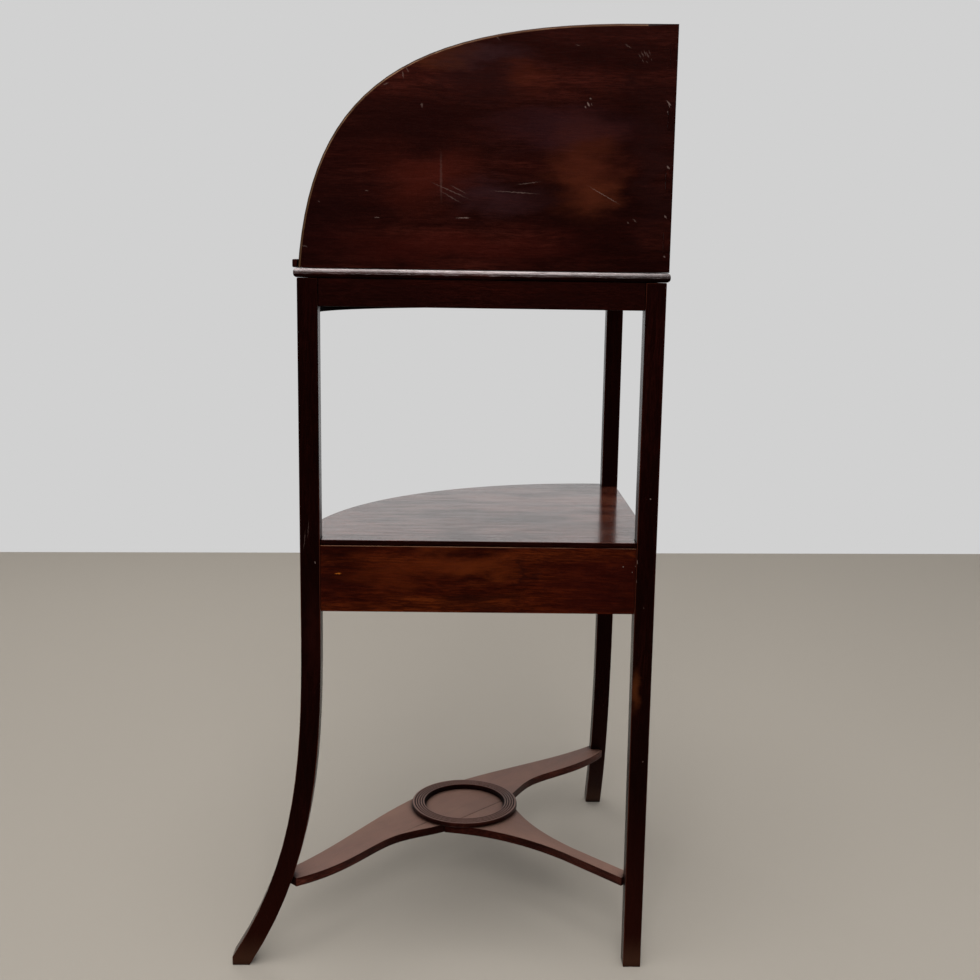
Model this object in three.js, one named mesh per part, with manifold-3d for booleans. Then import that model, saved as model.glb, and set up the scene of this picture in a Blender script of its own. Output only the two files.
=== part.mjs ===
// A late Georgian corner washstand in mahogany, built square and plumb.
// It stands on a straight rear leg and two front legs whose feet sweep outwards. A bow-fronted top
// board is cut for a basin and two cups and carries a splash back of two panels dovetailed at the
// corner. A bow-fronted shelf covers a drawer between two dummy fronts, and a low three-armed
// stretcher carries a turned ring for the ewer.
// Millimetres, +Z up. The front faces -Y and the rear corner is at +Y.

import * as THREE from 'three';
import { mergeVertices } from 'three/addons/utils/BufferGeometryUtils.js';
import Module from 'manifold-3d';

const wasm = await Module();
wasm.setup();

// Whole stand
const side = 410; // outer face to outer face of two legs along a straight side
const bowReach = 423; // rear outer corner to the middle of the bow
const gap = 0.3; // play between pieces that touch
const overrun = 20; // how far a cutter runs past what it cuts
const boundary = 900; // reach of a cutter that has no end of its own

// Legs
const legWidth = 23;
const legTop = 827;
const rearFootWidth = 21.5;
const sweepTop = 470; // height where the front legs begin to sweep
const sweepReach = 95; // sweep at the floor, before the toe is cut square
const sweepPower = 3.3;
const toeCut = 7; // length of toe that the square cut takes off
const sweepSteps = 16;

// Mortise and tenon joints
const tenonThick = 6;
const tenonWall = 2.5; // wood left between two tenons in one leg
const tenonShoulder = 5;

// Top tier
const topRailDepth = 31;
const railThick = 15; // thickness of the straight rails and aprons
const railSetback = 1; // rails and aprons lie this far behind the leg faces
const friezeDepth = 39;
const curvedThick = 16; // thickness of the bow-fronted frieze, bars and fronts
const curvedSetback = 2;
const boardThick = 10.5;
const boardOverhang = 3.5;
const noseDepth = 4; // depth of the round on the edges of the top board
const basinRadius = 122;
const basinPlaceShare = 0.55; // middle of the basin hole, as a share of the bow's reach
const cupRadius = 29;
const cupFrontMargin = 13; // frieze to the rim of a cup hole
const cupSideMargin = 26; // side rail to the rim of a cup hole
const lipThick = 9;
const lipHeight = 9;
const lipOverhang = 4.5; // how far the lip stands outside the line of the bow

// Splash back
const panelThick = 8;
const panelOverhang = 1.8; // how far the panels stand outside the leg faces
const panelSetback = 1.5; // front end of a panel behind the outer face of its front leg
const panelHeight = 262;
const panelCurveShares = [
  [0.962, 0.718],
  [0.73, 1.019],
]; // handles of the curved top, as shares of a panel's length and height
const tailRoot = 19;
const tailEnd = 24;
const tailCount = 4;
const screwSetback = 3.5; // leg faces to the middle of a panel screw
const screwRadius = 1.6;
const screwHeadRadius = 2.6;
const screwHeadHeight = 2;
const screwLength = 26;
const rearScrewPlace = 95; // rear outer corner to the first screw of a panel
const frontScrewSetback = 105; // outer face of a front leg to the front screw of its panel

// Shelf tier
const shelfTop = 531;
const shelfThick = 6;
const shelfSetback = 2; // shelf edge behind the leg faces
const apronDepth = 78;
const topBarDepth = 8.5;
const bottomBarDepth = 12;

// Drawer opening, posts and dummy fronts
const openingHalf = 92;
const postWidth = 12;
const drawerPlay = 0.8; // play round the drawer front
const beadWidth = 2.5;
const beadDepth = 5;
const beadProud = 1.5;

// Drawer box
const drawerRearPlay = 10; // back corners of the drawer to the aprons
const drawerSideThick = 8;
const drawerSideHeight = 45;
const drawerBackThick = 8;
const drawerBackPlace = 5; // back end of the sides to the drawer back
const drawerBottomThick = 4;
const drawerBottomRise = 5; // underside of the sides to the drawer bottom
const grooveDepth = 3;
const drawerLap = 8; // wood of the drawer front that covers the tails of its sides
const drawerTailRoot = 11;
const drawerTailEnd = 14;
const drawerTailCount = 2;

// Drawer runners, guides and stops
const runnerInner = 70; // middle line to the inner edge of a runner
const runnerThick = 11;
const guideHeight = 24;
const stopLength = 10;
const stopWidth = 13;
const stopHeight = 12;

// Knobs
const knobRadius = 7;
const knobReach = 17;
const knobShapeShares = [
  [0.93, 0], [0.93, 0.12], [0.45, 0.2], [0.4, 0.4], [0.78, 0.52],
  [1, 0.68], [0.92, 0.83], [0.55, 0.96], [0, 1],
]; // radius and height along the knob, as shares of its radius and reach
const shankRadius = 2.2;
const shankLength = 11;

// Glue blocks
const blockSize = 14;
const blockLength = 45;
const cornerBlockSize = 34;
const cornerBlockHeight = 55; // height of the corner blocks of the shelf tier
const topBlockHeight = 27; // height of the corner block of the top tier
const friezeBlockAcross = 96; // middle line to the middle of a block behind the frieze
const friezeBlockDepth = 26; // middle of the frieze's inner face to the back of its blocks

// Stretcher and ring
const stretcherTop = 111;
const stretcherThick = 11;
const ringPlace = 308; // rear outer corner to the middle of the ring
const crossEndPast = 7.3; // how far an arm reaches past the inner corner of its leg
const crossEndWidth = 26;
const crossEndOffset = 3.5; // middle of an arm's end behind the corner of its leg
const seamSetback = 26; // middle of the ring to the seam behind it
const crossFrontReach = 68; // middle of the ring to the front of the stretcher
const crossFrontHandle = 190; // where the front edge leaves the line of the arm
const crossFrontRound = 110; // middle line to the front edge's round handle
const crossFrontDrop = 4; // how far the front edge's round handle lies behind its middle
const crossFrontLift = 5; // how far the front edge's other handle lies before the arm's edge
const crossBackWaist = 140; // middle line to the narrowest place of the rear edge
const crossWaistDepth = 2.8; // how far the waist lies before the rear edge's end
const crossBellyHandle = 228; // the rear edge swells between its end and its waist
const crossBellyRise = 17;
const crossWaistHandle = 180;
const crossBackFlat = 45;
const crossBackHandle = 105;
const crossBackTurn = 75;
const rearArmEndWidth = 18;
const rearArmStart = 27; // rear outer corner to the end of the rear arm
const rearArmBend = 120; // where the rear arm begins to widen
const rearArmHandle = 205;
const rearArmFlareLead = 32; // seam to the handle of the flare
const rearArmHandleHalf = 13;
const rearArmFlareHalf = 40;
const rearArmSeamHalf = 62;
const lapLength = 30;
const lapHalf = 25;
const armTenonWidth = 10;
const armTenonThick = 5;
const armTenonReach = 8; // depth of an arm's tenon past the corner of its leg
const ringOuter = 72;
const ringInner = 53.5;
const ringHeight = 6.5;
const ringEdgeHeight = 2; // height of the ring's outer edge under its round
const ringRimWidth = 3.6;
const reedCount = 3;
const reedWidth = 3.4;
const reedFall = 0.9; // depth of the quirks between the reeds
const pegRadius = 3;
const pegRing = 62; // middle of the ring to each peg
const pegDepth = 3.6; // how far a peg enters the ring

// Facets
const bowSteps = 36;
const basinSteps = 48;
const cupSteps = 24;
const ringSteps = 60;
const knobSteps = 18;
const pinSteps = 12;
const curveSteps = 14;
const roundSteps = 3;

// Places worked out from the sizes above
const chordHalf = side / Math.SQRT2;
const bowRise = bowReach - chordHalf;
const bowRadius = (chordHalf ** 2 + bowRise ** 2) / (2 * bowRise);
const bowCentre = bowReach - bowRadius;
const boardTop = legTop + gap + boardThick;
const apronTop = shelfTop - shelfThick - gap;
const apronBottom = apronTop - apronDepth;
const apronInner = railSetback + railThick;
const tenonLength = legWidth - railSetback - (railThick + tenonThick) / 2 - tenonWall;
const curvedInner = bowRadius - curvedSetback - curvedThick;
const frontBottom = apronBottom + bottomBarDepth + gap;
const frontTop = apronTop - topBarDepth - gap;
const drawerBottom = frontBottom + drawerPlay;
const drawerTop = frontTop - drawerPlay;
const drawerHalf = openingHalf - drawerPlay;
const drawerRear = drawerHalf + apronInner * Math.SQRT2 + drawerRearPlay;
const drawerTailLength = curvedThick - drawerLap;
const stretcherBottom = stretcherTop - stretcherThick;
const crossBack = ringPlace - seamSetback;
const crossFront = ringPlace + crossFrontReach;
const basinPlace = bowReach * basinPlaceShare;
const cupInwards = apronInner + cupSideMargin + cupRadius;
const cupTurn = curvedInner - cupFrontMargin - cupRadius; // bow's centre to a cup's middle
const panelLength = side - panelSetback;
const rearReach = boardOverhang * Math.SQRT2;
const frontReach = bowReach - curvedSetback + knobReach;

// Finishes
const finishes = {
  leg: { color: 0x2a0a06, roughness: 0.34 },
  rail: { color: 0x300d07, roughness: 0.36 },
  panel: { color: 0x48170f, roughness: 0.38 },
  top: { color: 0x3d120b, roughness: 0.3 },
  apron: { color: 0x4a1708, roughness: 0.36 },
  stretcher: { color: 0x5a2a1c, roughness: 0.42 },
  ring: { color: 0x4d2418, roughness: 0.4 },
  lining: { color: 0x9a6b3c, roughness: 0.7 },
  brass: { color: 0xa07a35, roughness: 0.35, metalness: 1 },
  iron: { color: 0x2e2b29, roughness: 0.6, metalness: 1 },
};

// Solids from closed geometries, and back
function solidOf(geometry) {
  const bare = geometry.clone();
  bare.deleteAttribute('normal');
  bare.deleteAttribute('uv');
  const merged = mergeVertices(bare);
  const mesh = new wasm.Mesh({
    numProp: 3,
    vertProperties: new Float32Array(merged.attributes.position.array),
    triVerts: new Uint32Array(merged.index.array),
  });
  return new wasm.Manifold(mesh);
}

function geometryOf(solid) {
  const mesh = solid.getMesh();
  const geometry = new THREE.BufferGeometry();
  geometry.setAttribute('position', new THREE.BufferAttribute(mesh.vertProperties, mesh.numProp));
  geometry.setIndex(new THREE.BufferAttribute(mesh.triVerts, 1));
  geometry.computeVertexNormals();
  return geometry;
}

function joined(first, ...others) {
  return others.reduce((sum, other) => sum.add(other), first);
}

function cut(first, ...others) {
  return others.reduce((rest, other) => rest.subtract(other), first);
}

function moved(solid, matrix) {
  const geometry = geometryOf(solid);
  geometry.applyMatrix4(matrix);
  if (matrix.determinant() < 0) {
    geometry.index.array.reverse();
  }
  return solidOf(geometry);
}

function at(solid, x, y, z) {
  return moved(solid, new THREE.Matrix4().makeTranslation(x, y, z));
}

// A side frame runs along a straight side from the rear outer corner on x, and inwards from the
// leg faces on y. The right side is the left one seen in a mirror.
const leftTurn = -3 * Math.PI / 4;
const rightTurn = -Math.PI / 4;
const swapSides = new THREE.Matrix4().makeScale(1, -1, 1);
const swapHalves = new THREE.Matrix4().makeScale(-1, 1, 1);
const leftSideToStand = new THREE.Matrix4().makeRotationZ(leftTurn);
const rightSideToStand = new THREE.Matrix4().makeRotationZ(rightTurn).multiply(swapSides);
const standToLeftSide = new THREE.Matrix4().makeRotationZ(-leftTurn);

function onLeft(solid) {
  return moved(solid, leftSideToStand);
}

function onBoth(solid) {
  return joined(onLeft(solid), moved(solid, rightSideToStand));
}

// A box between low and high limits on each axis
function block(x, y, z) {
  const geometry = new THREE.BoxGeometry(x[1] - x[0], y[1] - y[0], z[1] - z[0]);
  geometry.translate((x[0] + x[1]) / 2, (y[0] + y[1]) / 2, (z[0] + z[1]) / 2);
  return solidOf(geometry);
}

// A plan outline raised between two heights
function raised(shape, z) {
  const geometry = new THREE.ExtrudeGeometry(shape, {
    depth: z[1] - z[0],
    bevelEnabled: false,
    curveSegments: curveSteps,
  });
  geometry.translate(0, 0, z[0]);
  return solidOf(geometry);
}

function shapeOf(points) {
  return new THREE.Shape(points.map(([x, y]) => new THREE.Vector2(x, y)));
}

function arcPoints(x, y, radius, [from, to], steps) {
  const points = [];
  for (let step = 0; step <= steps; step += 1) {
    const angle = from + (to - from) * (step / steps);
    points.push([x + radius * Math.cos(angle), y + radius * Math.sin(angle)]);
  }
  return points;
}

function circlePoints(x, y, radius, steps) {
  return arcPoints(x, y, radius, [0, 2 * Math.PI], steps).slice(1);
}

// A turned solid from radius and height pairs, with its axis on z
function turned(profile, steps) {
  const points = profile.map(([radius, height]) => new THREE.Vector2(radius, height));
  const geometry = new THREE.LatheGeometry(points, steps);
  geometry.rotateX(Math.PI / 2);
  return solidOf(geometry);
}

function pin(radius, length) {
  return turned([[0, 0], [radius, 0], [radius, length], [0, length]], pinSteps);
}

// Plan of the stand: a point of a side has a distance along it and a depth inwards from its face
function leftPoint(along, inwards) {
  return [(inwards - along) / Math.SQRT2, -(along + inwards) / Math.SQRT2];
}

function rightPoint(along, inwards) {
  const [x, y] = leftPoint(along, inwards);
  return [-x, y];
}

// Where a line parallel to a side meets an arc about the centre of the bow
function bowMeets(radius, inwards) {
  const centre = bowCentre / Math.SQRT2;
  return centre + Math.sqrt(radius ** 2 - (inwards - centre) ** 2);
}

function bowAngle([x, y]) {
  return Math.atan2(y + bowCentre, x);
}

function bowPoints(radius, inwards) {
  const along = bowMeets(radius, inwards);
  const angles = [bowAngle(leftPoint(along, inwards)), bowAngle(rightPoint(along, inwards))];
  return arcPoints(0, -bowCentre, radius, angles, bowSteps);
}

function bowDisc(radius, z) {
  return raised(shapeOf(circlePoints(0, -bowCentre, radius, 4 * bowSteps)), z);
}

function bowBand(outer, inner, z) {
  return cut(bowDisc(outer, z), bowDisc(inner, [z[0] - overrun, z[1] + overrun]));
}

// Everything that lies further in from both sides than a given depth
function betweenSides(inwards, z) {
  return raised(shapeOf([
    leftPoint(inwards, inwards),
    leftPoint(boundary, inwards),
    rightPoint(boundary, inwards),
  ]), z);
}

// Heights of the pieces that are tenoned into the legs
const topRailHeights = [legTop - topRailDepth, legTop];
const friezeHeights = [legTop - friezeDepth, legTop];
const apronHeights = [apronBottom, apronTop];
const topBarHeights = [apronTop - topBarDepth, apronTop];
const bottomBarHeights = [apronBottom, apronBottom + bottomBarDepth];
const stretcherHeights = [stretcherBottom, stretcherTop];

// Front leg, in the side frame, grown all round where it is a cutter
function sweepAt(height) {
  return sweepReach * Math.max(0, (sweepTop - height) / sweepTop) ** sweepPower;
}

function sweepSlope(height) {
  const fall = Math.max(0, (sweepTop - height) / sweepTop) ** (sweepPower - 1);
  return (sweepReach * sweepPower / sweepTop) * fall;
}

function innerEdgeAt(height) {
  return side + sweepAt(height) - legWidth * Math.hypot(1, sweepSlope(height));
}

function frontLegSolid(grow) {
  const toeHeight = sweepTop * (1 - (1 - toeCut / sweepReach) ** (1 / sweepPower));
  const outer = [];
  const inner = [];
  for (let step = 0; step <= sweepSteps; step += 1) {
    const innerHeight = sweepTop * (1 - step / sweepSteps);
    const outerHeight = sweepTop - (sweepTop - toeHeight) * (step / sweepSteps);
    inner.push([innerEdgeAt(innerHeight) - grow, innerHeight]);
    outer.push([side + sweepAt(outerHeight) + grow, outerHeight]);
  }
  const outline = shapeOf([
    [side - legWidth - grow, legTop + grow],
    ...inner,
    [side + sweepReach - toeCut + grow, 0],
    ...outer.reverse(),
    [side + grow, legTop + grow],
  ]);
  const geometry = new THREE.ExtrudeGeometry(outline, {
    depth: legWidth + 2 * grow,
    bevelEnabled: false,
  });
  geometry.rotateX(Math.PI / 2);
  geometry.translate(0, legWidth + grow, 0);
  return solidOf(geometry);
}

// Rear leg, in the side frame: its two inner faces taper below the apron
function rearLegSolid(grow) {
  const sections = [[rearFootWidth, 0], [legWidth, apronBottom], [legWidth, legTop + grow]];
  const corners = sections.flatMap(([width, height]) => [
    [-grow, -grow, height],
    [width + grow, -grow, height],
    [width + grow, width + grow, height],
    [-grow, width + grow, height],
  ]);
  const triangles = [0, 2, 1, 0, 3, 2];
  for (const lowest of [0, 4]) {
    for (let corner = 0; corner < 4; corner += 1) {
      const here = lowest + corner;
      const next = lowest + (corner + 1) % 4;
      triangles.push(here, next, next + 4, here, next + 4, here + 4);
    }
  }
  triangles.push(8, 9, 10, 8, 10, 11);
  const geometry = new THREE.BufferGeometry();
  geometry.setAttribute('position', new THREE.Float32BufferAttribute(corners.flat(), 3));
  geometry.setIndex(triangles);
  return solidOf(geometry);
}

// Tenons, in the side frame. A mortise is the same solid with some growth.
function railTenon(shoulder, z, grow) {
  const middle = railSetback + railThick / 2;
  return block(
    [shoulder - tenonLength - grow, shoulder + tenonLength + grow],
    [middle - tenonThick / 2 - grow, middle + tenonThick / 2 + grow],
    [z[0] + tenonShoulder - grow, z[1] - tenonShoulder + grow],
  );
}

// Curved pieces enter a front leg from its inner face
function curvedTenon(z, grow) {
  const middle = bowMeets(bowRadius - curvedSetback - curvedThick / 2, legWidth);
  const shoulder = Math.min(tenonShoulder, (z[1] - z[0]) / 4);
  return block(
    [middle - tenonThick / 2 - grow, middle + tenonThick / 2 + grow],
    [legWidth - tenonLength - grow, legWidth + tenonLength / 2],
    [z[0] + shoulder - grow, z[1] - shoulder + grow],
  );
}

function armTenonHeights(grow) {
  const middle = stretcherTop - stretcherThick / 2;
  return [middle - armTenonThick / 2 - grow, middle + armTenonThick / 2 + grow];
}

// Inner corner of a front leg where the stretcher's arm meets it, in the stand's frame
function legCorner() {
  const along = innerEdgeAt(stretcherTop - stretcherThick / 2);
  const [x, y] = leftPoint(along, legWidth);
  return { across: -x, place: -y };
}

function leftArmTenon(grow) {
  const { across, place } = legCorner();
  return block(
    [-across - armTenonReach - grow, -across + armTenonReach],
    [-place - armTenonWidth / 2 - grow, -place + armTenonWidth / 2 + grow],
    armTenonHeights(grow),
  );
}

function rearArmTenon(grow) {
  const corner = rearFootWidth * Math.SQRT2;
  return block(
    [-armTenonWidth / 2 - grow, armTenonWidth / 2 + grow],
    [-corner - 2 * armTenonReach, -corner + armTenonReach + grow],
    armTenonHeights(grow),
  );
}

function frontLeg() {
  const shoulder = side - legWidth;
  return cut(
    frontLegSolid(0),
    railTenon(shoulder, topRailHeights, gap),
    railTenon(shoulder, apronHeights, gap),
    curvedTenon(friezeHeights, gap),
    curvedTenon(topBarHeights, gap),
    curvedTenon(bottomBarHeights, gap),
    moved(leftArmTenon(gap), standToLeftSide),
  );
}

function rearLeg() {
  return cut(
    onLeft(rearLegSolid(0)),
    onBoth(railTenon(legWidth, topRailHeights, gap)),
    onBoth(railTenon(legWidth, apronHeights, gap)),
    rearArmTenon(gap),
  );
}

// Straight rails and aprons, in the side frame
function sideRail(z) {
  const shoulders = [legWidth + gap, side - legWidth - gap];
  return joined(
    block(shoulders, [railSetback, railSetback + railThick], z),
    railTenon(legWidth, z, 0),
    railTenon(side - legWidth, z, 0),
  );
}

// Bow-fronted frieze and bars
function curvedMember(z) {
  const band = bowBand(bowRadius - curvedSetback, curvedInner, z);
  return joined(band.intersect(betweenSides(legWidth + gap, z)), onBoth(curvedTenon(z, 0)));
}

// Top board, with its holes and a round on every edge
function boardShape() {
  const face = noseDepth - boardOverhang;
  const shape = shapeOf([
    leftPoint(face, face),
    ...bowPoints(bowRadius + boardOverhang - noseDepth, face),
  ]);
  const [cupX, cupY] = rightPoint(bowMeets(cupTurn, cupInwards), cupInwards);
  const holes = [
    circlePoints(0, -basinPlace, basinRadius + noseDepth, basinSteps),
    circlePoints(-cupX, cupY, cupRadius + noseDepth, cupSteps),
    circlePoints(cupX, cupY, cupRadius + noseDepth, cupSteps),
  ];
  shape.holes = holes.map(shapeOf);
  return shape;
}

function topBoard() {
  const geometry = new THREE.ExtrudeGeometry(boardShape(), {
    depth: boardThick - 2 * noseDepth,
    bevelThickness: noseDepth,
    bevelSize: noseDepth,
    bevelSegments: roundSteps,
  });
  geometry.translate(0, 0, legTop + gap + noseDepth);
  return cut(solidOf(geometry), ...panelScrewHoles().map(onBoth));
}

// Splash panels, in the side frame
function panelOutline() {
  const handles = panelCurveShares.map(([along, up]) => [along * panelLength, up * panelHeight]);
  const shape = new THREE.Shape();
  shape.moveTo(-panelOverhang, 0);
  shape.lineTo(panelLength, 0);
  shape.bezierCurveTo(...handles.flat(), 0, panelHeight);
  shape.lineTo(-panelOverhang, panelHeight);
  return shape;
}

function panelSolid() {
  const geometry = new THREE.ExtrudeGeometry(panelOutline(), {
    depth: panelThick,
    bevelEnabled: false,
    curveSegments: 2 * curveSteps,
  });
  geometry.rotateX(Math.PI / 2);
  geometry.translate(0, panelThick - panelOverhang, boardTop + gap);
  return solidOf(geometry);
}

// A dovetail along x, widening from its root at x = 0, with its thickness on z
function dovetail({ length, root, end, thick }, grow) {
  const outline = shapeOf([
    [-length, -root / 2 - grow],
    [0, -root / 2 - grow],
    [length + grow, -end / 2 - grow],
    [length + grow, end / 2 + grow],
    [0, root / 2 + grow],
    [-length, root / 2 + grow],
  ]);
  return raised(outline, [-grow, thick + grow]);
}

// The tails of the left panel run right through the right one
function panelTails(grow) {
  const size = { length: panelThick, root: tailRoot, end: tailEnd, thick: panelThick };
  const turn = new THREE.Matrix4().makeBasis(
    new THREE.Vector3(-1, 0, 0),
    new THREE.Vector3(0, 0, 1),
    new THREE.Vector3(0, 1, 0),
  );
  const tail = moved(dovetail(size, grow), turn);
  const tails = [];
  for (let number = 0; number < tailCount; number += 1) {
    const height = boardTop + gap + panelHeight * (number + 1 / 2) / tailCount;
    tails.push(at(tail, panelThick - panelOverhang, -panelOverhang, height));
  }
  return joined(...tails);
}

function leftPanel() {
  const root = panelThick - panelOverhang + gap;
  const front = block([root, boundary], [-overrun, boundary], [0, 2 * boundary]);
  const board = panelSolid().intersect(front);
  return cut(joined(board, panelTails(0)), ...panelScrewHoles());
}

function rightPanel() {
  const sockets = moved(moved(panelTails(gap), leftSideToStand), standToRightSide());
  return cut(panelSolid(), sockets, ...panelScrewHoles());
}

function standToRightSide() {
  return rightSideToStand.clone().invert();
}

// Screws that hold the panels are driven up through the board from below
function screwSolid(grow) {
  return turned([
    [0, -grow],
    [screwHeadRadius + grow, -grow],
    [screwRadius + grow, screwHeadHeight],
    [screwRadius + grow, screwLength + grow],
    [0, screwLength + grow],
  ], pinSteps);
}

function screwPlaces() {
  const height = legTop + 2 * gap;
  return [rearScrewPlace, side - frontScrewSetback].map((place) => [place, screwSetback, height]);
}

function panelScrewHoles() {
  return screwPlaces().map((place) => at(screwSolid(gap), ...place));
}

// Lip along the front of the board, from the outside of one panel to the outside of the other
function frontLip() {
  const heights = [boardTop + gap, boardTop + gap + lipHeight];
  const outer = bowRadius + lipOverhang;
  const panelEnd = block(
    [side / 2, panelLength + gap],
    [-overrun, panelThick - panelOverhang + gap],
    [heights[0] - overrun, heights[1] + overrun],
  );
  const band = bowBand(outer, outer - lipThick, heights);
  return cut(band.intersect(betweenSides(-panelOverhang, heights)), onBoth(panelEnd));
}

// Shelf board, notched round the legs
function shelfBoard() {
  const leg = legWidth + gap;
  return raised(shapeOf([
    leftPoint(leg, leg),
    leftPoint(leg, shelfSetback),
    leftPoint(side - leg, shelfSetback),
    leftPoint(side - leg, leg),
    ...bowPoints(bowRadius, leg),
    rightPoint(side - leg, leg),
    rightPoint(side - leg, shelfSetback),
    rightPoint(leg, shelfSetback),
  ]), [shelfTop - shelfThick, shelfTop]);
}

// Fronts of the shelf tier: a field in the middle of a rebate that holds its bead. A region gives
// the space of a front between two radii, with every edge drawn in by an inset.
function dummyRegion(inset, outer, inner) {
  const play = gap + inset;
  const post = openingHalf + postWidth + play;
  const leg = legWidth + play;
  const heights = [frontBottom + inset, frontTop - inset];
  const plan = shapeOf([
    leftPoint(post * Math.SQRT2 + leg, leg),
    leftPoint(boundary, leg),
    [-post, -boundary],
  ]);
  return bowBand(outer, inner, heights).intersect(raised(plan, heights));
}

function drawerRegion(inset, outer, inner) {
  const heights = [drawerBottom + inset, drawerTop - inset];
  const half = drawerHalf - inset;
  return bowBand(outer, inner, heights).intersect(block([-half, half], [-boundary, 0], heights));
}

function frontOf(region) {
  const face = bowRadius - curvedSetback;
  const back = region(0, face - beadDepth - gap, curvedInner);
  const field = region(beadWidth + gap, face, curvedInner);
  return joined(back, field);
}

function beadOf(region) {
  const face = bowRadius - curvedSetback;
  const outside = region(0, face + beadProud, face - beadDepth);
  return cut(outside, region(beadWidth, face + overrun, face - overrun));
}

// Knobs: the axis is on z, and the front that a knob is screwed into has its face at z = 0
function knobSolid() {
  const shape = knobShapeShares.map(([radius, height]) => [
    knobRadius * radius,
    gap + (knobReach - gap) * height,
  ]);
  return turned([[0, -shankLength], [shankRadius, -shankLength], [shankRadius, gap], ...shape],
    knobSteps);
}

function knobHole(angle) {
  const bore = at(pin(shankRadius + gap, shankLength + gap + overrun), 0, 0, -shankLength - gap);
  return moved(bore, knobPlace(angle));
}

function knobPlace(angle) {
  const face = bowRadius - curvedSetback;
  const height = (drawerBottom + drawerTop) / 2;
  const place = new THREE.Matrix4().makeTranslation(0, -bowCentre, 0);
  place.multiply(new THREE.Matrix4().makeRotationZ(angle));
  place.multiply(new THREE.Matrix4().makeTranslation(0, -face, height));
  return place.multiply(new THREE.Matrix4().makeRotationX(Math.PI / 2));
}

// A dummy front's knob stands half way between the post and the leg
function dummyKnobAngle() {
  const post = Math.asin((openingHalf + postWidth) / bowRadius);
  const leg = Math.PI / 2 + bowAngle(rightPoint(bowMeets(bowRadius, legWidth), legWidth));
  return (post + leg) / 2;
}

function leftDummyFront() {
  return cut(frontOf(dummyRegion), knobHole(-dummyKnobAngle()));
}

// Drawer: its sides are dovetailed into the front, and its bottom lies in grooves
function drawerBottomBoard(grow) {
  const low = drawerBottom + drawerBottomRise;
  const half = drawerHalf - drawerSideThick + grooveDepth + grow;
  const heights = [low - grow, low + drawerBottomThick + grow];
  const board = block([-half, half], [-boundary, -drawerRear + grow], heights);
  return board.intersect(bowDisc(curvedInner + grooveDepth + grow, heights));
}

function drawerBack(grow) {
  const half = drawerHalf - drawerSideThick + grooveDepth + grow;
  const place = drawerRear + drawerBackPlace;
  const low = drawerBottom + drawerBottomRise + drawerBottomThick + gap;
  return block(
    [-half, half],
    [-place - drawerBackThick - grow, -place + grow],
    [low, drawerBottom + drawerSideHeight + grow],
  );
}

function drawerTails(grow) {
  const size = {
    length: drawerTailLength,
    root: drawerTailRoot,
    end: drawerTailEnd,
    thick: drawerSideThick,
  };
  const turn = new THREE.Matrix4().makeBasis(
    new THREE.Vector3(0, -1, 0),
    new THREE.Vector3(0, 0, 1),
    new THREE.Vector3(-1, 0, 0),
  );
  const tail = moved(dovetail(size, grow), turn);
  const inner = drawerHalf - drawerSideThick;
  const root = bowCentre + Math.sqrt((curvedInner - gap) ** 2 - inner ** 2);
  const tails = [];
  for (let number = 0; number < drawerTailCount; number += 1) {
    const height = drawerBottom + drawerSideHeight * (number + 1 / 2) / drawerTailCount;
    tails.push(at(tail, -inner, -root, height));
  }
  return joined(...tails);
}

function leftDrawerSide() {
  const heights = [drawerBottom, drawerBottom + drawerSideHeight];
  const inner = drawerHalf - drawerSideThick;
  const board = block([-drawerHalf, -inner], [-boundary, -drawerRear], heights);
  const fitted = board.intersect(bowDisc(curvedInner - gap, heights));
  return cut(joined(fitted, drawerTails(0)), drawerBottomBoard(gap), drawerBack(gap));
}

function drawerFront() {
  const sockets = drawerTails(gap);
  return cut(
    frontOf(drawerRegion),
    knobHole(0),
    drawerBottomBoard(gap),
    sockets,
    moved(sockets, swapHalves),
  );
}

// What lies behind the curved bars and between the aprons, in the stand's frame
function insideFrame(x, y, z) {
  const strip = block(x, y, z);
  const apron = block([0, boundary], [-boundary, apronInner + gap], z);
  return cut(strip.intersect(bowDisc(curvedInner - gap, z)), onBoth(apron));
}

function leftRunner() {
  const top = drawerBottom - gap;
  return insideFrame(
    [-openingHalf - postWidth, -runnerInner],
    [-boundary, 0],
    [top - runnerThick, top],
  );
}

function leftGuide() {
  return insideFrame(
    [-openingHalf - postWidth, -openingHalf],
    [-boundary, 0],
    [drawerBottom, drawerBottom + guideHeight],
  );
}

function leftStop() {
  const outer = openingHalf - gap;
  const front = drawerRear - gap;
  return insideFrame(
    [-outer, -outer + stopWidth],
    [-front, -front + stopLength],
    [drawerBottom, drawerBottom + stopHeight],
  );
}

function leftPost() {
  const heights = [frontBottom, frontTop];
  const post = block([-openingHalf - postWidth, -openingHalf], [-boundary, 0], heights);
  return bowBand(bowRadius - curvedSetback, curvedInner, heights).intersect(post);
}

// Glue blocks. The ones in the middle of the top rails are in the side frame.
function railBlock() {
  const face = apronInner + gap;
  return block(
    [(side - blockLength) / 2, (side + blockLength) / 2],
    [face, face + blockSize],
    [legTop - blockSize, legTop],
  );
}

function friezeBlock() {
  const heights = [legTop - blockSize, legTop];
  const solid = block(
    [-friezeBlockAcross - blockLength / 2, -friezeBlockAcross + blockLength / 2],
    [-boundary, -bowCentre - curvedInner + friezeBlockDepth],
    heights,
  );
  return solid.intersect(bowDisc(curvedInner - gap, heights));
}

function rearBlock(top, height) {
  const face = apronInner + gap;
  const leg = legWidth + gap;
  const far = leg + cornerBlockSize;
  return onLeft(raised(shapeOf([
    [leg, face],
    [far, face],
    [face, far],
    [face, leg],
    [leg, leg],
  ]), [top - height, top]));
}

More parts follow.
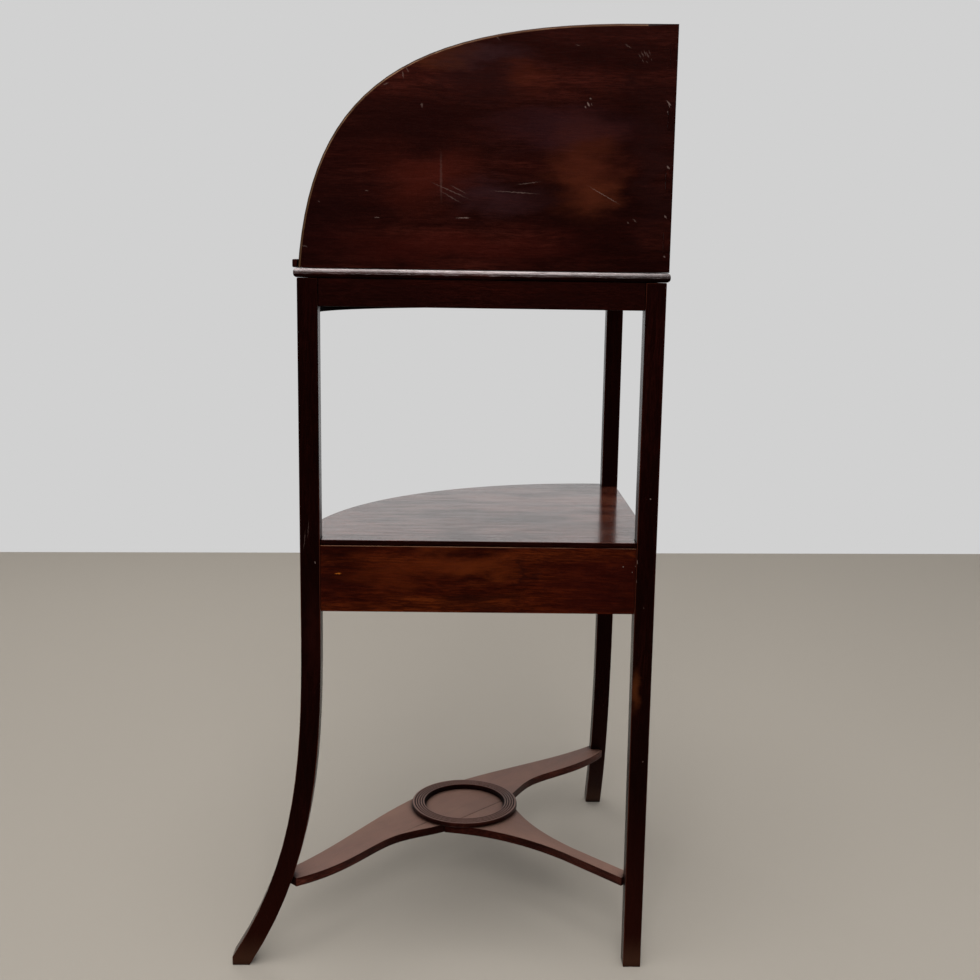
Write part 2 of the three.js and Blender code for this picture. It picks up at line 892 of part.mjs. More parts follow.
function leftFrontBlock() {
  const face = apronInner + gap;
  const leg = side - legWidth - gap;
  const heights = [apronTop - cornerBlockHeight, apronTop];
  const solid = raised(shapeOf([
    leftPoint(leg, face),
    leftPoint(leg, face + blockSize),
    leftPoint(leg - 2 * blockSize, face),
  ]), heights);
  return solid.intersect(bowDisc(curvedInner - gap, heights));
}

// Stretcher: one cross piece from front leg to front leg, and a rear arm lapped under it. The
// rear arm's outline runs on into the cross piece, which cuts it off.
function crossOutline() {
  const { across, place } = legCorner();
  const crossReach = across + crossEndPast;
  const endFront = place - crossEndOffset + crossEndWidth / 2;
  const endBack = place - crossEndOffset - crossEndWidth / 2;
  const waist = endBack + crossWaistDepth;
  const belly = endBack - crossBellyRise;
  const shape = new THREE.Shape();
  shape.moveTo(-crossReach, -endBack);
  shape.lineTo(-crossReach, -endFront);
  shape.bezierCurveTo(
    -crossFrontHandle, -endFront - crossFrontLift,
    -crossFrontRound, -crossFront + crossFrontDrop,
    0, -crossFront,
  );
  shape.bezierCurveTo(
    crossFrontRound, -crossFront + crossFrontDrop,
    crossFrontHandle, -endFront - crossFrontLift,
    crossReach, -endFront,
  );
  shape.lineTo(crossReach, -endBack);
  shape.bezierCurveTo(
    crossBellyHandle, -belly,
    crossWaistHandle, -waist,
    crossBackWaist, -waist,
  );
  shape.bezierCurveTo(
    crossBackHandle, -waist,
    crossBackTurn, -crossBack,
    crossBackFlat, -crossBack,
  );
  shape.lineTo(-crossBackFlat, -crossBack);
  shape.bezierCurveTo(
    -crossBackTurn, -crossBack,
    -crossBackHandle, -waist,
    -crossBackWaist, -waist,
  );
  shape.bezierCurveTo(
    -crossWaistHandle, -waist,
    -crossBellyHandle, -belly,
    -crossReach, -endBack,
  );
  return shape;
}

function rearArmOutline() {
  const half = rearArmEndWidth / 2;
  const shape = new THREE.Shape();
  shape.moveTo(-half, -rearArmStart);
  shape.lineTo(-half, -rearArmBend);
  shape.bezierCurveTo(
    -rearArmHandleHalf, -rearArmHandle,
    -rearArmFlareHalf, -crossBack + rearArmFlareLead,
    -rearArmSeamHalf, -crossBack,
  );
  shape.lineTo(-rearArmSeamHalf, -crossBack - overrun);
  shape.lineTo(rearArmSeamHalf, -crossBack - overrun);
  shape.lineTo(rearArmSeamHalf, -crossBack);
  shape.bezierCurveTo(
    rearArmFlareHalf, -crossBack + rearArmFlareLead,
    rearArmHandleHalf, -rearArmHandle,
    half, -rearArmBend,
  );
  shape.lineTo(half, -rearArmStart);
  return shape;
}

function lapTongue(grow, low) {
  const middle = stretcherTop - stretcherThick / 2;
  return block(
    [-lapHalf - grow, lapHalf + grow],
    [-crossBack - lapLength - grow, -crossBack + lapLength],
    [low, middle + grow],
  );
}

const pegPlaces = {
  left_ring_peg: [-pegRing, -ringPlace],
  right_ring_peg: [pegRing, -ringPlace],
  rear_ring_peg: [0, -ringPlace + pegRing],
};

function pegSolid() {
  return at(pin(pegRadius, stretcherThick + pegDepth), 0, 0, stretcherBottom);
}

function pegHoles() {
  const hole = pin(pegRadius + gap, stretcherThick + pegDepth + 2 * gap);
  return Object.values(pegPlaces).map(([x, y]) => at(hole, x, y, stretcherBottom - gap));
}

function crossStretcher() {
  const arms = raised(crossOutline(), stretcherHeights);
  const lap = lapTongue(gap, stretcherBottom - overrun);
  const shouldered = cut(arms, onBoth(frontLegSolid(gap)), lap);
  const tenon = leftArmTenon(0);
  return cut(joined(shouldered, tenon, moved(tenon, swapHalves)), ...pegHoles());
}

function rearStretcher() {
  const arm = raised(rearArmOutline(), stretcherHeights);
  const crossPiece = at(raised(crossOutline(), stretcherHeights), 0, gap, 0);
  const shouldered = cut(arm, onLeft(rearLegSolid(gap)), crossPiece);
  const tongue = lapTongue(0, stretcherBottom);
  return cut(joined(shouldered, rearArmTenon(0), tongue), ...pegHoles());
}

// Ring round the ewer's place: a rounded rim, then fine reeds, then a flat step down to the well
function ringProfile() {
  const quirk = ringHeight - reedFall;
  const profile = [[ringInner, 0], [ringOuter, 0]];
  for (let step = 0; step <= roundSteps; step += 1) {
    const turn = (Math.PI / 2) * (step / roundSteps);
    profile.push([
      ringOuter - (ringRimWidth / 2) * (1 - Math.cos(turn)),
      ringEdgeHeight + (ringHeight - ringEdgeHeight) * Math.sin(turn),
    ]);
  }
  for (let step = 0; step < reedCount * roundSteps; step += 1) {
    const share = (step % roundSteps) / roundSteps;
    profile.push([
      ringOuter - ringRimWidth - reedWidth * (step / roundSteps),
      quirk + reedFall * Math.sin(Math.PI * share),
    ]);
  }
  const reedsEnd = ringOuter - ringRimWidth - reedWidth * reedCount;
  profile.push([reedsEnd, quirk]);
  profile.push([reedsEnd - reedFall, ringHeight]);
  profile.push([ringInner, ringHeight]);
  profile.push([ringInner, 0]);
  return profile;
}

function dishRing() {
  const ring = at(turned(ringProfile(), ringSteps), 0, -ringPlace, stretcherTop + gap);
  return cut(ring, ...pegHoles());
}

// Assembly
const stand = new THREE.Group();
stand.position.y = (frontReach + rearReach) / 2 - rearReach;
const leftSide = new THREE.Group();
leftSide.rotation.z = leftTurn;
const rightSide = new THREE.Group();
rightSide.rotation.z = rightTurn;
stand.add(leftSide, rightSide);

function piece(parent, name, solid, finish) {
  const mesh = new THREE.Mesh(geometryOf(solid), new THREE.MeshStandardMaterial(finish));
  mesh.name = name;
  parent.add(mesh);
  return mesh;
}

// A pair of pieces from a solid in the side frame
function sidePair(name, solid, finish) {
  piece(leftSide, `left_${name}`, solid, finish);
  piece(rightSide, `right_${name}`, moved(solid, swapSides), finish);
}

// A pair of pieces from the left one in the stand's frame
function halfPair(name, solid, finish) {
  piece(stand, `left_${name}`, solid, finish);
  piece(stand, `right_${name}`, moved(solid, swapHalves), finish);
}

piece(stand, 'rear_leg', rearLeg(), finishes.leg);
sidePair('front_leg', frontLeg(), finishes.leg);

sidePair('top_rail', sideRail(topRailHeights), finishes.rail);
piece(stand, 'curved_top_frieze', curvedMember(friezeHeights), finishes.rail);
piece(stand, 'rear_top_block', rearBlock(legTop, topBlockHeight), finishes.lining);
sidePair('top_block', railBlock(), finishes.lining);
halfPair('frieze_block', friezeBlock(), finishes.lining);
piece(stand, 'top_board', topBoard(), finishes.top);
piece(stand, 'front_lip', frontLip(), finishes.top);
piece(leftSide, 'left_splash_panel', leftPanel(), finishes.panel);
piece(rightSide, 'right_splash_panel', moved(rightPanel(), swapSides), finishes.panel);
for (const [number, place] of screwPlaces().entries()) {
  for (const [sideName, parent] of [['left', leftSide], ['right', rightSide]]) {
    const name = `${sideName}_${number === 0 ? 'rear' : 'front'}_panel_screw`;
    const screw = piece(parent, name, screwSolid(0), finishes.iron);
    screw.position.set(place[0], parent === leftSide ? place[1] : -place[1], place[2]);
  }
}

piece(stand, 'shelf_board', shelfBoard(), finishes.top);
sidePair('apron', sideRail(apronHeights), finishes.apron);
piece(stand, 'front_top_bar', curvedMember(topBarHeights), finishes.apron);
piece(stand, 'front_bottom_bar', curvedMember(bottomBarHeights), finishes.apron);
halfPair('drawer_post', leftPost(), finishes.apron);
halfPair('dummy_front', leftDummyFront(), finishes.apron);
halfPair('dummy_bead', beadOf(dummyRegion), finishes.apron);
halfPair('drawer_runner', leftRunner(), finishes.lining);
halfPair('drawer_guide', leftGuide(), finishes.lining);
halfPair('drawer_stop', leftStop(), finishes.lining);
piece(stand, 'rear_shelf_block', rearBlock(apronTop, cornerBlockHeight), finishes.lining);
halfPair('shelf_block', leftFrontBlock(), finishes.lining);

piece(stand, 'drawer_front', drawerFront(), finishes.apron);
piece(stand, 'drawer_bead', beadOf(drawerRegion), finishes.apron);
halfPair('drawer_side', leftDrawerSide(), finishes.lining);
piece(stand, 'drawer_back', drawerBack(0), finishes.lining);
piece(stand, 'drawer_bottom', drawerBottomBoard(0), finishes.lining);
const knobAngles = {
  drawer_knob: 0,
  left_dummy_knob: -dummyKnobAngle(),
  right_dummy_knob: dummyKnobAngle(),
};
for (const [name, angle] of Object.entries(knobAngles)) {
  piece(stand, name, knobSolid(), finishes.brass).applyMatrix4(knobPlace(angle));
}

piece(stand, 'cross_stretcher', crossStretcher(), finishes.stretcher);
piece(stand, 'rear_stretcher', rearStretcher(), finishes.stretcher);
piece(stand, 'dish_ring', dishRing(), finishes.ring);
for (const [name, [x, y]] of Object.entries(pegPlaces)) {
  piece(stand, name, pegSolid(), finishes.lining).position.set(x, y, 0);
}

export default stand;
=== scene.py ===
import math

import bmesh
import bpy
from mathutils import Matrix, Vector


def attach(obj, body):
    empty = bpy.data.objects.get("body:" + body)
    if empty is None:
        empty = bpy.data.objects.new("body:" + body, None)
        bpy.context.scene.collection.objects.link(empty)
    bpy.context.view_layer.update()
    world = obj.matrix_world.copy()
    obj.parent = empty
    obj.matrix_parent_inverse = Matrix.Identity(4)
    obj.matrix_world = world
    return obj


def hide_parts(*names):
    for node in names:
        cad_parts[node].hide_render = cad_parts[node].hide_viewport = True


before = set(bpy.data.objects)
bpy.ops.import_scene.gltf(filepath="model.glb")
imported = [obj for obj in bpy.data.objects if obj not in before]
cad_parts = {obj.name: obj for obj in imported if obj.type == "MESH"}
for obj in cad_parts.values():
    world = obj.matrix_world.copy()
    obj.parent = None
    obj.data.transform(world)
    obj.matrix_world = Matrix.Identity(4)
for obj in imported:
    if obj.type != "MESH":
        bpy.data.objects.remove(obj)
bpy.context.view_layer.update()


# The legs: one straight at the rear corner and two at the front whose feet sweep outwards.
# Each is sawn from one length of mahogany, planed square, stained dark and polished, and its
# arrises have been rubbed thin by two centuries of hands and dusters.

def tone(red, green, blue):
    """A colour as it looks, 0 to 255, in the linear values that a shader takes."""
    shares = [level / 255 for level in (red, green, blue)]
    return [share / 12.92 if share <= 0.04045 else ((share + 0.055) / 1.055) ** 2.4
            for share in shares] + [1]


def feed(finish, socket, value):
    """Links a pattern to a socket, or sets the socket to a plain value."""
    if isinstance(value, bpy.types.NodeSocket):
        finish.node_tree.links.new(value, socket)
    else:
        socket.default_value = value


def node(finish, kind, settings=None, **sockets):
    """A shader node with its settings made and its sockets filled or linked."""
    made = finish.node_tree.nodes.new("ShaderNode" + kind)
    for name, value in (settings or {}).items():
        setattr(made, name, value)
    for name, value in sockets.items():
        feed(finish, made.inputs[name], value)
    return made


def sum_of(finish, operation, first, second=0.0):
    """One step of arithmetic on patterns."""
    made = node(finish, "Math", {"operation": operation})
    feed(finish, made.inputs[0], first)
    feed(finish, made.inputs[1], second)
    return made.outputs[0]


def product(finish, first, second):
    """A pattern weakened by another, or by a share."""
    return sum_of(finish, "MULTIPLY", first, second)


def vector_sum(finish, operation, *values):
    """One step of arithmetic on coordinates."""
    made = node(finish, "VectorMath", {"operation": operation})
    for socket, value in zip(made.inputs, values):
        feed(finish, socket, value)
    return made


def laid_over(finish, how, share, under, over):
    """One colour laid over another, as a glaze or a darkening."""
    made = node(finish, "Mix", {"data_type": "RGBA", "blend_type": how})
    feed(finish, made.inputs[0], share)
    feed(finish, made.inputs[6], under)
    feed(finish, made.inputs[7], over)
    return made.outputs[2]


def spread(finish, value, low, high, start=0.0, end=1.0):
    """A pattern's run from low to high, clamped, mapped to start and end."""
    made = node(finish, "MapRange", {"interpolation_type": "SMOOTHSTEP"})
    feed(finish, made.inputs[0], value)
    for socket, number in zip(made.inputs[1:5], (low, high, start, end)):
        feed(finish, socket, number)
    return made.outputs[0]


def noise_node(finish, place, stretch, detail=3.0, roughness=0.55):
    """Noise whose spots are 1/stretch metres long on each axis of the wood."""
    scaled = node(finish, "Mapping", Vector=place, Scale=stretch)
    return node(finish, "TexNoise", Vector=scaled.outputs[0], Scale=1.0, Detail=detail,
                Roughness=roughness)


def noise(finish, place, stretch, **fineness):
    """The same noise as one value from 0 to 1."""
    return noise_node(finish, place, stretch, **fineness).outputs[0]


UPRIGHT = (0, -math.pi / 2, 0)  # turn of grain that runs up the piece
ALONG_RIGHT = (0, 0, -math.pi / 4)  # along the right side, from the rear corner
REAR_CORNER = (0, 0.21653, 0)  # outer corner of the rear leg


def grain_place(finish, turn):
    """Object coordinates turned so that X runs with the grain, from the rear corner."""
    place = node(finish, "TexCoord").outputs["Object"]
    turned = node(finish, "Mapping", {"vector_type": "TEXTURE"}, Vector=place, Rotation=turn,
                  Location=REAR_CORNER)
    return turned.outputs[0]


def spot(finish, place, centre, reach, core, lean=0.0):
    """A soft oval on a piece: 1 in its core and 0 past its reach. A long thin one is a scratch."""
    laid = node(finish, "Mapping", {"vector_type": "TEXTURE"}, Vector=place, Location=centre,
                Scale=reach, Rotation=(0, -lean, 0))
    away = vector_sum(finish, "LENGTH", laid.outputs[0])
    return spread(finish, away.outputs["Value"], core, 1.0, 1.0, 0.0)


MARK_DEPTH = 0.006  # how far into the wood a mark on its face reaches


def torn_place(finish, place, stretch, reach):
    """Coordinates shaken by noise, so that what is laid out on them has a ragged edge."""
    torn = noise_node(finish, place, stretch, detail=5.0, roughness=0.6).outputs["Color"]
    shake = vector_sum(finish, "SUBTRACT", torn, (0.5, 0.5, 0.5)).outputs[0]
    return vector_sum(finish, "MULTIPLY_ADD", shake, reach, place).outputs[0]


PATCH_TEAR = Vector((0.16, 0, 0.09))  # how far a patch's edge is torn along and across the grain
SCRATCH_TEAR = (0.0035, 0, 0.0035)  # how far a scratch strays from its line


def patched(finish, colour, place, face, patches, tear=1.0):
    """Faded and darkened patches, and patches of painted sheen, on one face, torn along the
    grain: each has its middle, its reach along and up the face, how strongly it shows, and its
    colour."""
    ragged = torn_place(finish, place, (14, 40, 40), PATCH_TEAR * tear)
    for (along, up), (wide, high), share, patch in patches:
        there = spot(finish, ragged, (along, face, up), (wide, MARK_DEPTH, high), core=0.0)
        colour = laid_over(finish, "MIX", product(finish, there, share), colour, patch)
    return colour


def scratched(finish, colour, place, face, paint, scratches):
    """Scratches and nicks on one face: each has its two ends, its half width and how strongly
    it shows."""
    ragged = torn_place(finish, place, (500, 500, 500), SCRATCH_TEAR)
    for start, end, width, share in scratches:
        along, up = (start[0] + end[0]) / 2, (start[1] + end[1]) / 2
        run, rise = end[0] - start[0], end[1] - start[1]
        there = spot(finish, ragged, (along, face, up),
                     (math.hypot(run, rise) / 2, MARK_DEPTH, width), core=0.3,
                     lean=math.atan2(rise, run))
        colour = laid_over(finish, "MIX", product(finish, there, share), colour, paint)
    return colour


# grime and painted shade: colour darkened where ambient light is blocked, in corners and hollows
CORNER_GRIME_AND_SHADE = tone(9, 4, 3)
CORNER_SHADE_REACH = 0.009  # how far from a corner its grime and painted shade come
DUST_CLEARANCE = 0.03  # room above a face that has all its dust
POLISH_TINT = tone(170, 82, 70)  # stained polish reflects reddish
GRAIN_DEPTH = 0.0006


def mahogany(name, place_of, dark, middle, light, gloss=0.32, figure=1.0, ripple=1.0,
             sheen=0.3, polish=0.0, worn=None, dust=None, marks=None):
    """Polished mahogany: broad figure, streaks, pores, clouded polish, and grime with painted shade
    in the corners.
    gloss is about its least roughness, figure the depth of its grain, ripple the waviness of its
    face, sheen how strongly it reflects and polish the share of clear coat. worn is the colour
    where the polish has gone, dust the colour that lies on its top faces, and marks what else is
    laid over its colour."""
    finish = bpy.data.materials.new(name)
    finish.use_nodes = True
    shader = finish.node_tree.nodes["Principled BSDF"]
    place = place_of(finish)

    wander = noise(finish, place, (5, 9, 9), detail=2)
    waving = vector_sum(finish, "MULTIPLY_ADD", wander, (0, 0.014, 0.014), place).outputs[0]
    broad = noise(finish, waving, (2.2, 24, 24), detail=4)
    bands = noise(finish, waving, (12, 160, 160), detail=5, roughness=0.65)
    streaks = noise(finish, waving, (48, 560, 560), detail=5, roughness=0.75)
    pores = noise(finish, waving, (90, 2200, 2200), detail=1)
    clouds = noise(finish, place, (6, 10, 10), detail=5, roughness=0.6)

    ramp = node(finish, "ValToRGB", Fac=broad)
    stops = ramp.color_ramp.elements
    stops[0].position, stops[0].color = 0.34, dark
    stops[1].position, stops[1].color = 0.68, light
    stops.new(0.5).color = middle
    colour = ramp.outputs[0]
    for share, shade in (
            (spread(finish, bands, 0.36, 0.6, 0.75 * figure, 0.0), tone(128, 96, 86)),
            (spread(finish, streaks, 0.42, 0.6, 0.85 * figure, 0.0), tone(118, 86, 78)),
            (spread(finish, clouds, 0.42, 0.66, 0.0, 0.85), tone(108, 78, 72)),
            (spread(finish, pores, 0.58, 0.66, 0.0, 0.6 * figure), tone(70, 50, 45))):
        colour = laid_over(finish, "MULTIPLY", share, colour, shade)
    if marks:
        colour = marks(finish, colour)
    if worn:
        rubbed = spread(finish, clouds, 0.4, 0.56, 0.0, 0.8)
        colour = laid_over(finish, "MIX", rubbed, colour, worn)
    rough = spread(finish, clouds, 0.3, 0.7, gloss - 0.04, gloss + 0.1)
    if dust:
        facing = node(finish, "NewGeometry").outputs["Normal"]
        upward = node(finish, "SeparateXYZ", Vector=facing).outputs[2]
        lying = product(finish, spread(finish, upward, 0.6, 0.95),
                        spread(finish, clouds, 0.3, 0.75, 0.5, 0.92))
        open_air = node(finish, "AmbientOcclusion", {"samples": 8}, Distance=DUST_CLEARANCE)
        lying = product(finish, lying, spread(finish, open_air.outputs["AO"], 0.3, 0.95, 0.25))
        colour = laid_over(finish, "MIX", lying, colour, dust)
        rough = sum_of(finish, "ADD", rough, product(finish, lying, 0.16))
    # Painted shade with grime: the colour runs towards near black where little ambient light
    # reaches.
    corners = node(finish, "AmbientOcclusion", {"samples": 6}, Distance=CORNER_SHADE_REACH)
    corner_shade = spread(finish, corners.outputs["AO"], 0.35, 0.95, 0.75, 0.0)
    colour = laid_over(finish, "MIX", corner_shade, colour, CORNER_GRIME_AND_SHADE)
    feed(finish, shader.inputs["Base Color"], colour)
    feed(finish, shader.inputs["Roughness"], rough)
    shader.inputs["Specular IOR Level"].default_value = sheen
    shader.inputs["Specular Tint"].default_value = POLISH_TINT
    shader.inputs["Coat Roughness"].default_value = 0.1
    if polish:
        feed(finish, shader.inputs["Coat Weight"],
             spread(finish, bands, 0.36, 0.6, 0.55 * polish, polish))

    uneven = noise(finish, place, (9, 24, 24), detail=2)
    height = product(finish, streaks, 0.2)
    for pattern, depth in ((uneven, 1.2 * ripple), (bands, 0.4)):
        height = sum_of(finish, "ADD", height, product(finish, pattern, depth))
    height = sum_of(finish, "SUBTRACT", height, spread(finish, pores, 0.56, 0.64, 0.0, 0.2))
    bump = node(finish, "Bump", Strength=0.5, Distance=GRAIN_DEPTH, Height=height)
    for normal in ("Normal", "Coat Normal"):
        finish.node_tree.links.new(bump.outputs[0], shader.inputs[normal])
    return finish


def turned_by(turn):
    """What gives a finish its grain coordinates at this turn."""
    return lambda finish: grain_place(finish, turn)


def pick(piece):
    """Selects one object alone and makes it active."""
    bpy.ops.object.select_all(action="DESELECT")
    piece.select_set(True)
    bpy.context.view_layer.objects.active = piece


def coated(piece, *finishes):
    """Gives a piece its materials, the first of them all over."""
    piece.data.materials.clear()
    for finish in finishes:
        piece.data.materials.append(finish)
    piece.data.polygons.foreach_set("material_index", [0] * len(piece.data.polygons))


def fitted(piece, part, body):
    """Puts a piece in the place of a CAD part."""
    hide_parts(part)
    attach(piece, body)
    return piece


ARRIS_ANGLE = math.radians(32)
FLAT_ANGLE = math.radians(0.5)  # faces that meet at less are made one
SAME_PLACE = 0.000005
IN_LINE_SHARE = 0.9  # cosine past which two edges run on into each other
ROOM_SHARE = 2.2  # widths of a round that the edges beside it have to leave


def is_open_arris(edge, width, is_free):
    """Whether an edge is sharp, stands out, is free of a joint, and has room beside it for a
    round of this width."""
    if len(edge.link_faces) != 2 or not edge.is_convex or edge.calc_face_angle() < ARRIS_ANGLE:
        return False
    if not is_free((edge.verts[0].co + edge.verts[1].co) / 2):
        return False
    way = (edge.verts[1].co - edge.verts[0].co).normalized()
    for corner in edge.verts:
        for other in corner.link_edges:
            across = (other.verts[1].co - other.verts[0].co).normalized()
            if abs(way.dot(across)) < IN_LINE_SHARE and other.calc_length() < ROOM_SHARE * width:
                return False
    return True


def eased(part, body, finish, arris=None, width=0.0007, steps=2,
          is_free=lambda middle: True):
    """A copy of a CAD part whose sharp edges are rounded, as a scraper and sanding leave them.
    The rounded edges take the arris finish, where there is one."""
    piece = bpy.data.objects.new(part + "_eased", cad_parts[part].data.copy())
    bpy.context.scene.collection.objects.link(piece)
    coated(piece, *([finish, arris] if arris else [finish]))
    pick(piece)
    bpy.ops.object.mode_set(mode="EDIT")
    bpy.ops.mesh.select_all(action="SELECT")
    bpy.ops.mesh.remove_doubles(threshold=SAME_PLACE)
    bpy.ops.mesh.dissolve_limited(angle_limit=FLAT_ANGLE)
    bpy.ops.mesh.normals_make_consistent(inside=False)
    bpy.ops.mesh.select_mode(type="EDGE")
    bpy.ops.mesh.select_all(action="DESELECT")
    shape = bmesh.from_edit_mesh(piece.data)
    for edge in [edge for edge in shape.edges if is_open_arris(edge, width, is_free)]:
        edge.select_set(True)
    bmesh.update_edit_mesh(piece.data)
    bpy.ops.mesh.bevel(offset=width, segments=steps, affect="EDGES", clamp_overlap=False,
                       material=1 if arris else -1)
    bpy.ops.object.mode_set(mode="OBJECT")
    bpy.ops.object.shade_smooth_by_angle(angle=ARRIS_ANGLE)
    flats = piece.modifiers.new("flats", "WEIGHTED_NORMAL")
    flats.keep_sharp = True
    bpy.ops.object.modifier_apply(modifier="flats")
    return fitted(piece, part, body)


LEG_ROUND = 0.0009
RIGHT_LEG_FACE = 0.0  # the right side's leg faces, measured outwards from the rear corner
KICKED_TOP, WASHED_TOP = 0.26, 0.045  # how high up a foot is kicked, and washed
OLD_SCRATCH = tone(140, 118, 110)


def leg_marks(finish, colour):
    """The feet, kicked and washed paler than the rest, a rubbed place, scratches and nicks."""
    place = grain_place(finish, ALONG_RIGHT)
    height = node(finish, "SeparateXYZ", Vector=place).outputs[2]
    for top, share, patch in ((KICKED_TOP, 0.2, tone(60, 22, 11)),
                              (WASHED_TOP, 0.4, tone(74, 50, 36))):
        low = spread(finish, height, 0.0, top, share, 0.0)
        colour = laid_over(finish, "MIX", low, colour, patch)
    colour = patched(finish, colour, place, RIGHT_LEG_FACE,
                     (((0.0175, 0.354), (0.008, 0.036), 0.60, tone(80, 40, 18)),
                      ((0.396, 0.420), (0.014, 0.080), 0.30, tone(40, 12, 8))), tear=0.15)
    return scratched(finish, colour, place, RIGHT_LEG_FACE, OLD_SCRATCH, (
        ((0.4058, 0.5160), (0.4032, 0.5450), 0.0006, 0.16),
        ((0.4010, 0.5300), (0.3990, 0.5580), 0.0005, 0.12),
        ((0.3930, 0.5060), (0.3925, 0.5030), 0.0010, 0.40),
        ((0.0085, 0.5830), (0.0100, 0.5836), 0.0008, 0.60),
        ((0.0221, 0.5130), (0.0219, 0.5060), 0.0007, 0.45),
        ((0.0217, 0.4890), (0.0219, 0.4840), 0.0006, 0.35),
        ((0.0120, 0.4530), (0.0128, 0.4560), 0.0006, 0.30),
        ((0.0060, 0.2650), (0.0070, 0.2670), 0.0008, 0.35)))


leg_tones = (tone(10, 1, 1), tone(17, 3, 2), tone(30, 7, 5))
leg_wood = mahogany("leg_mahogany", turned_by(UPRIGHT), *leg_tones, gloss=0.28, sheen=0.2,
                    marks=leg_marks)
leg_worn = mahogany("leg_mahogany_arris", turned_by(UPRIGHT), *leg_tones, gloss=0.28, sheen=0.2,
                    worn=tone(64, 28, 18), marks=leg_marks)
for part in ("rear_leg", "left_front_leg", "right_front_leg"):
    eased(part, "stand", leg_wood, leg_worn, width=LEG_ROUND)


# The top rails: two straight mahogany rails tenoned into the legs, and a deeper bow-fronted
# frieze between the front legs, which is sawn to the curve and veneered. Pine blocks are glued
# in their corners.

BOW_CENTRE = 0.17584  # place on Y of the centre that the bow is struck from
BOW_RADIUS = 0.38232


def bow_place(finish):
    """Object coordinates rolled out flat along the bow: X runs round it."""
    place = node(finish, "TexCoord").outputs["Object"]
    across, back, up = node(finish, "SeparateXYZ", Vector=place).outputs
    forwards = sum_of(finish, "SUBTRACT", BOW_CENTRE, back)
    squares = sum_of(finish, "ADD", product(finish, across, across),
                     product(finish, forwards, forwards))
    arc = product(finish, sum_of(finish, "ARCTAN2", across, forwards), BOW_RADIUS)
    rolled = node(finish, "CombineXYZ", X=arc, Y=sum_of(finish, "SQRT", squares), Z=up)
    return rolled.outputs[0]


rail_tones = (tone(12, 2, 1), tone(21, 3, 2), tone(36, 8, 4))
ALONG_LEFT = (0, 0, -3 * math.pi / 4)  # along the left side, from the rear corner
side_turns = {"left": ALONG_LEFT, "right": ALONG_RIGHT}
for side, turn in side_turns.items():
    eased(side + "_top_rail", "stand",
          mahogany(side + "_rail_mahogany", turned_by(turn), *rail_tones, gloss=0.34, sheen=0.2))
frieze_wood = mahogany("frieze_mahogany", bow_place, *rail_tones, gloss=0.33, sheen=0.2)
bare_frieze = mahogany("bare_mahogany", bow_place, *rail_tones, gloss=0.8, sheen=0.02)
frieze = eased("curved_top_frieze", "stand", frieze_wood, bare_frieze)
VENEERED_SHARE = 0.3  # cosine to the bow's outward way, past which a face is veneered


def is_bare_frieze(face):
    """Whether a face of the frieze is one of those that the veneer and the polish left out."""
    outwards = Vector((face.center.x, face.center.y - BOW_CENTRE, 0)).normalized()
    return face.normal.dot(outwards) <= VENEERED_SHARE


def two_finished(piece, takes_second):
    """Gives a piece's second finish to the faces that a test picks, and its first to the rest."""
    for face in piece.data.polygons:
        face.material_index = 1 if takes_second(face) else 0


two_finished(frieze, is_bare_frieze)

# Pine has a grain of its own, but is dulled and streaked with age much as mahogany is.
ROUGH_ROUND = 0.0005  # of edges inside the stand, which were only broken with the plane
pine_tones = (tone(74, 48, 28), tone(104, 70, 42), tone(126, 90, 56))
pine_wood = mahogany("plain_pine", turned_by(UPRIGHT), *pine_tones, gloss=0.7, figure=0.8)
for part in ("rear_top_block", "left_top_block", "right_top_block", "left_frieze_block",
             "right_frieze_block", "rear_shelf_block", "left_shelf_block", "right_shelf_block",
             "left_drawer_stop", "right_drawer_stop"):
    eased(part, "stand", pine_wood, width=ROUGH_ROUND, steps=1)


# The top board: one mahogany board cut out for a basin and two cups, its edge worked to a
# round nose, polished, and glued to the rails and their blocks. A bent lip runs round its front.

top_tones = (tone(20, 4, 3), tone(38, 10, 7), tone(60, 20, 13))
HIGHLIGHT_FADE_END = 0.12  # the last stretch towards the rear corner, where the painted highlight is weaker
HIGHLIGHT_SIDE_REACH = 0.012  # how far inside the right legs' faces the painted highlight on that side ends


def painted_nose_highlight(finish, colour):
    """A painted highlight on the upper shoulder of the board's nose, broken in flecks and
    stretches, and strongest on the right.
    """
    facing = node(finish, "NewGeometry").outputs["Normal"]
    upward = node(finish, "SeparateXYZ", Vector=facing).outputs[2]
    highlight_share = product(finish, spread(finish, upward, 0.25, 0.55),
                       spread(finish, upward, 0.88, 0.99, 1.0, 0.0))
    place = grain_place(finish, ALONG_RIGHT)
    along, across, _ = node(finish, "SeparateXYZ", Vector=place).outputs
    flecks = noise(finish, place, (70, 500, 500), detail=3)
    highlight_breaks = noise(finish, place, (16, 30, 30), detail=2)
    for pattern in (spread(finish, flecks, 0.32, 0.55, 0.5, 0.95),
                    spread(finish, highlight_breaks, 0.36, 0.54, 0.55, 1.0),
                    spread(finish, along, 0.0, HIGHLIGHT_FADE_END, 0.45, 1.0),
                    spread(finish, across, -HIGHLIGHT_SIDE_REACH, -HIGHLIGHT_SIDE_REACH / 2, 0.25, 1.0)):
        highlight_share = product(finish, highlight_share, pattern)
    return laid_over(finish, "MIX", highlight_share, colour, tone(184, 172, 170))


# The top board's nose carries a painted highlight in its colour.
top_wood = mahogany("top_mahogany", turned_by(ALONG_RIGHT), *top_tones, gloss=0.22, polish=1.0,
                    marks=painted_nose_highlight)
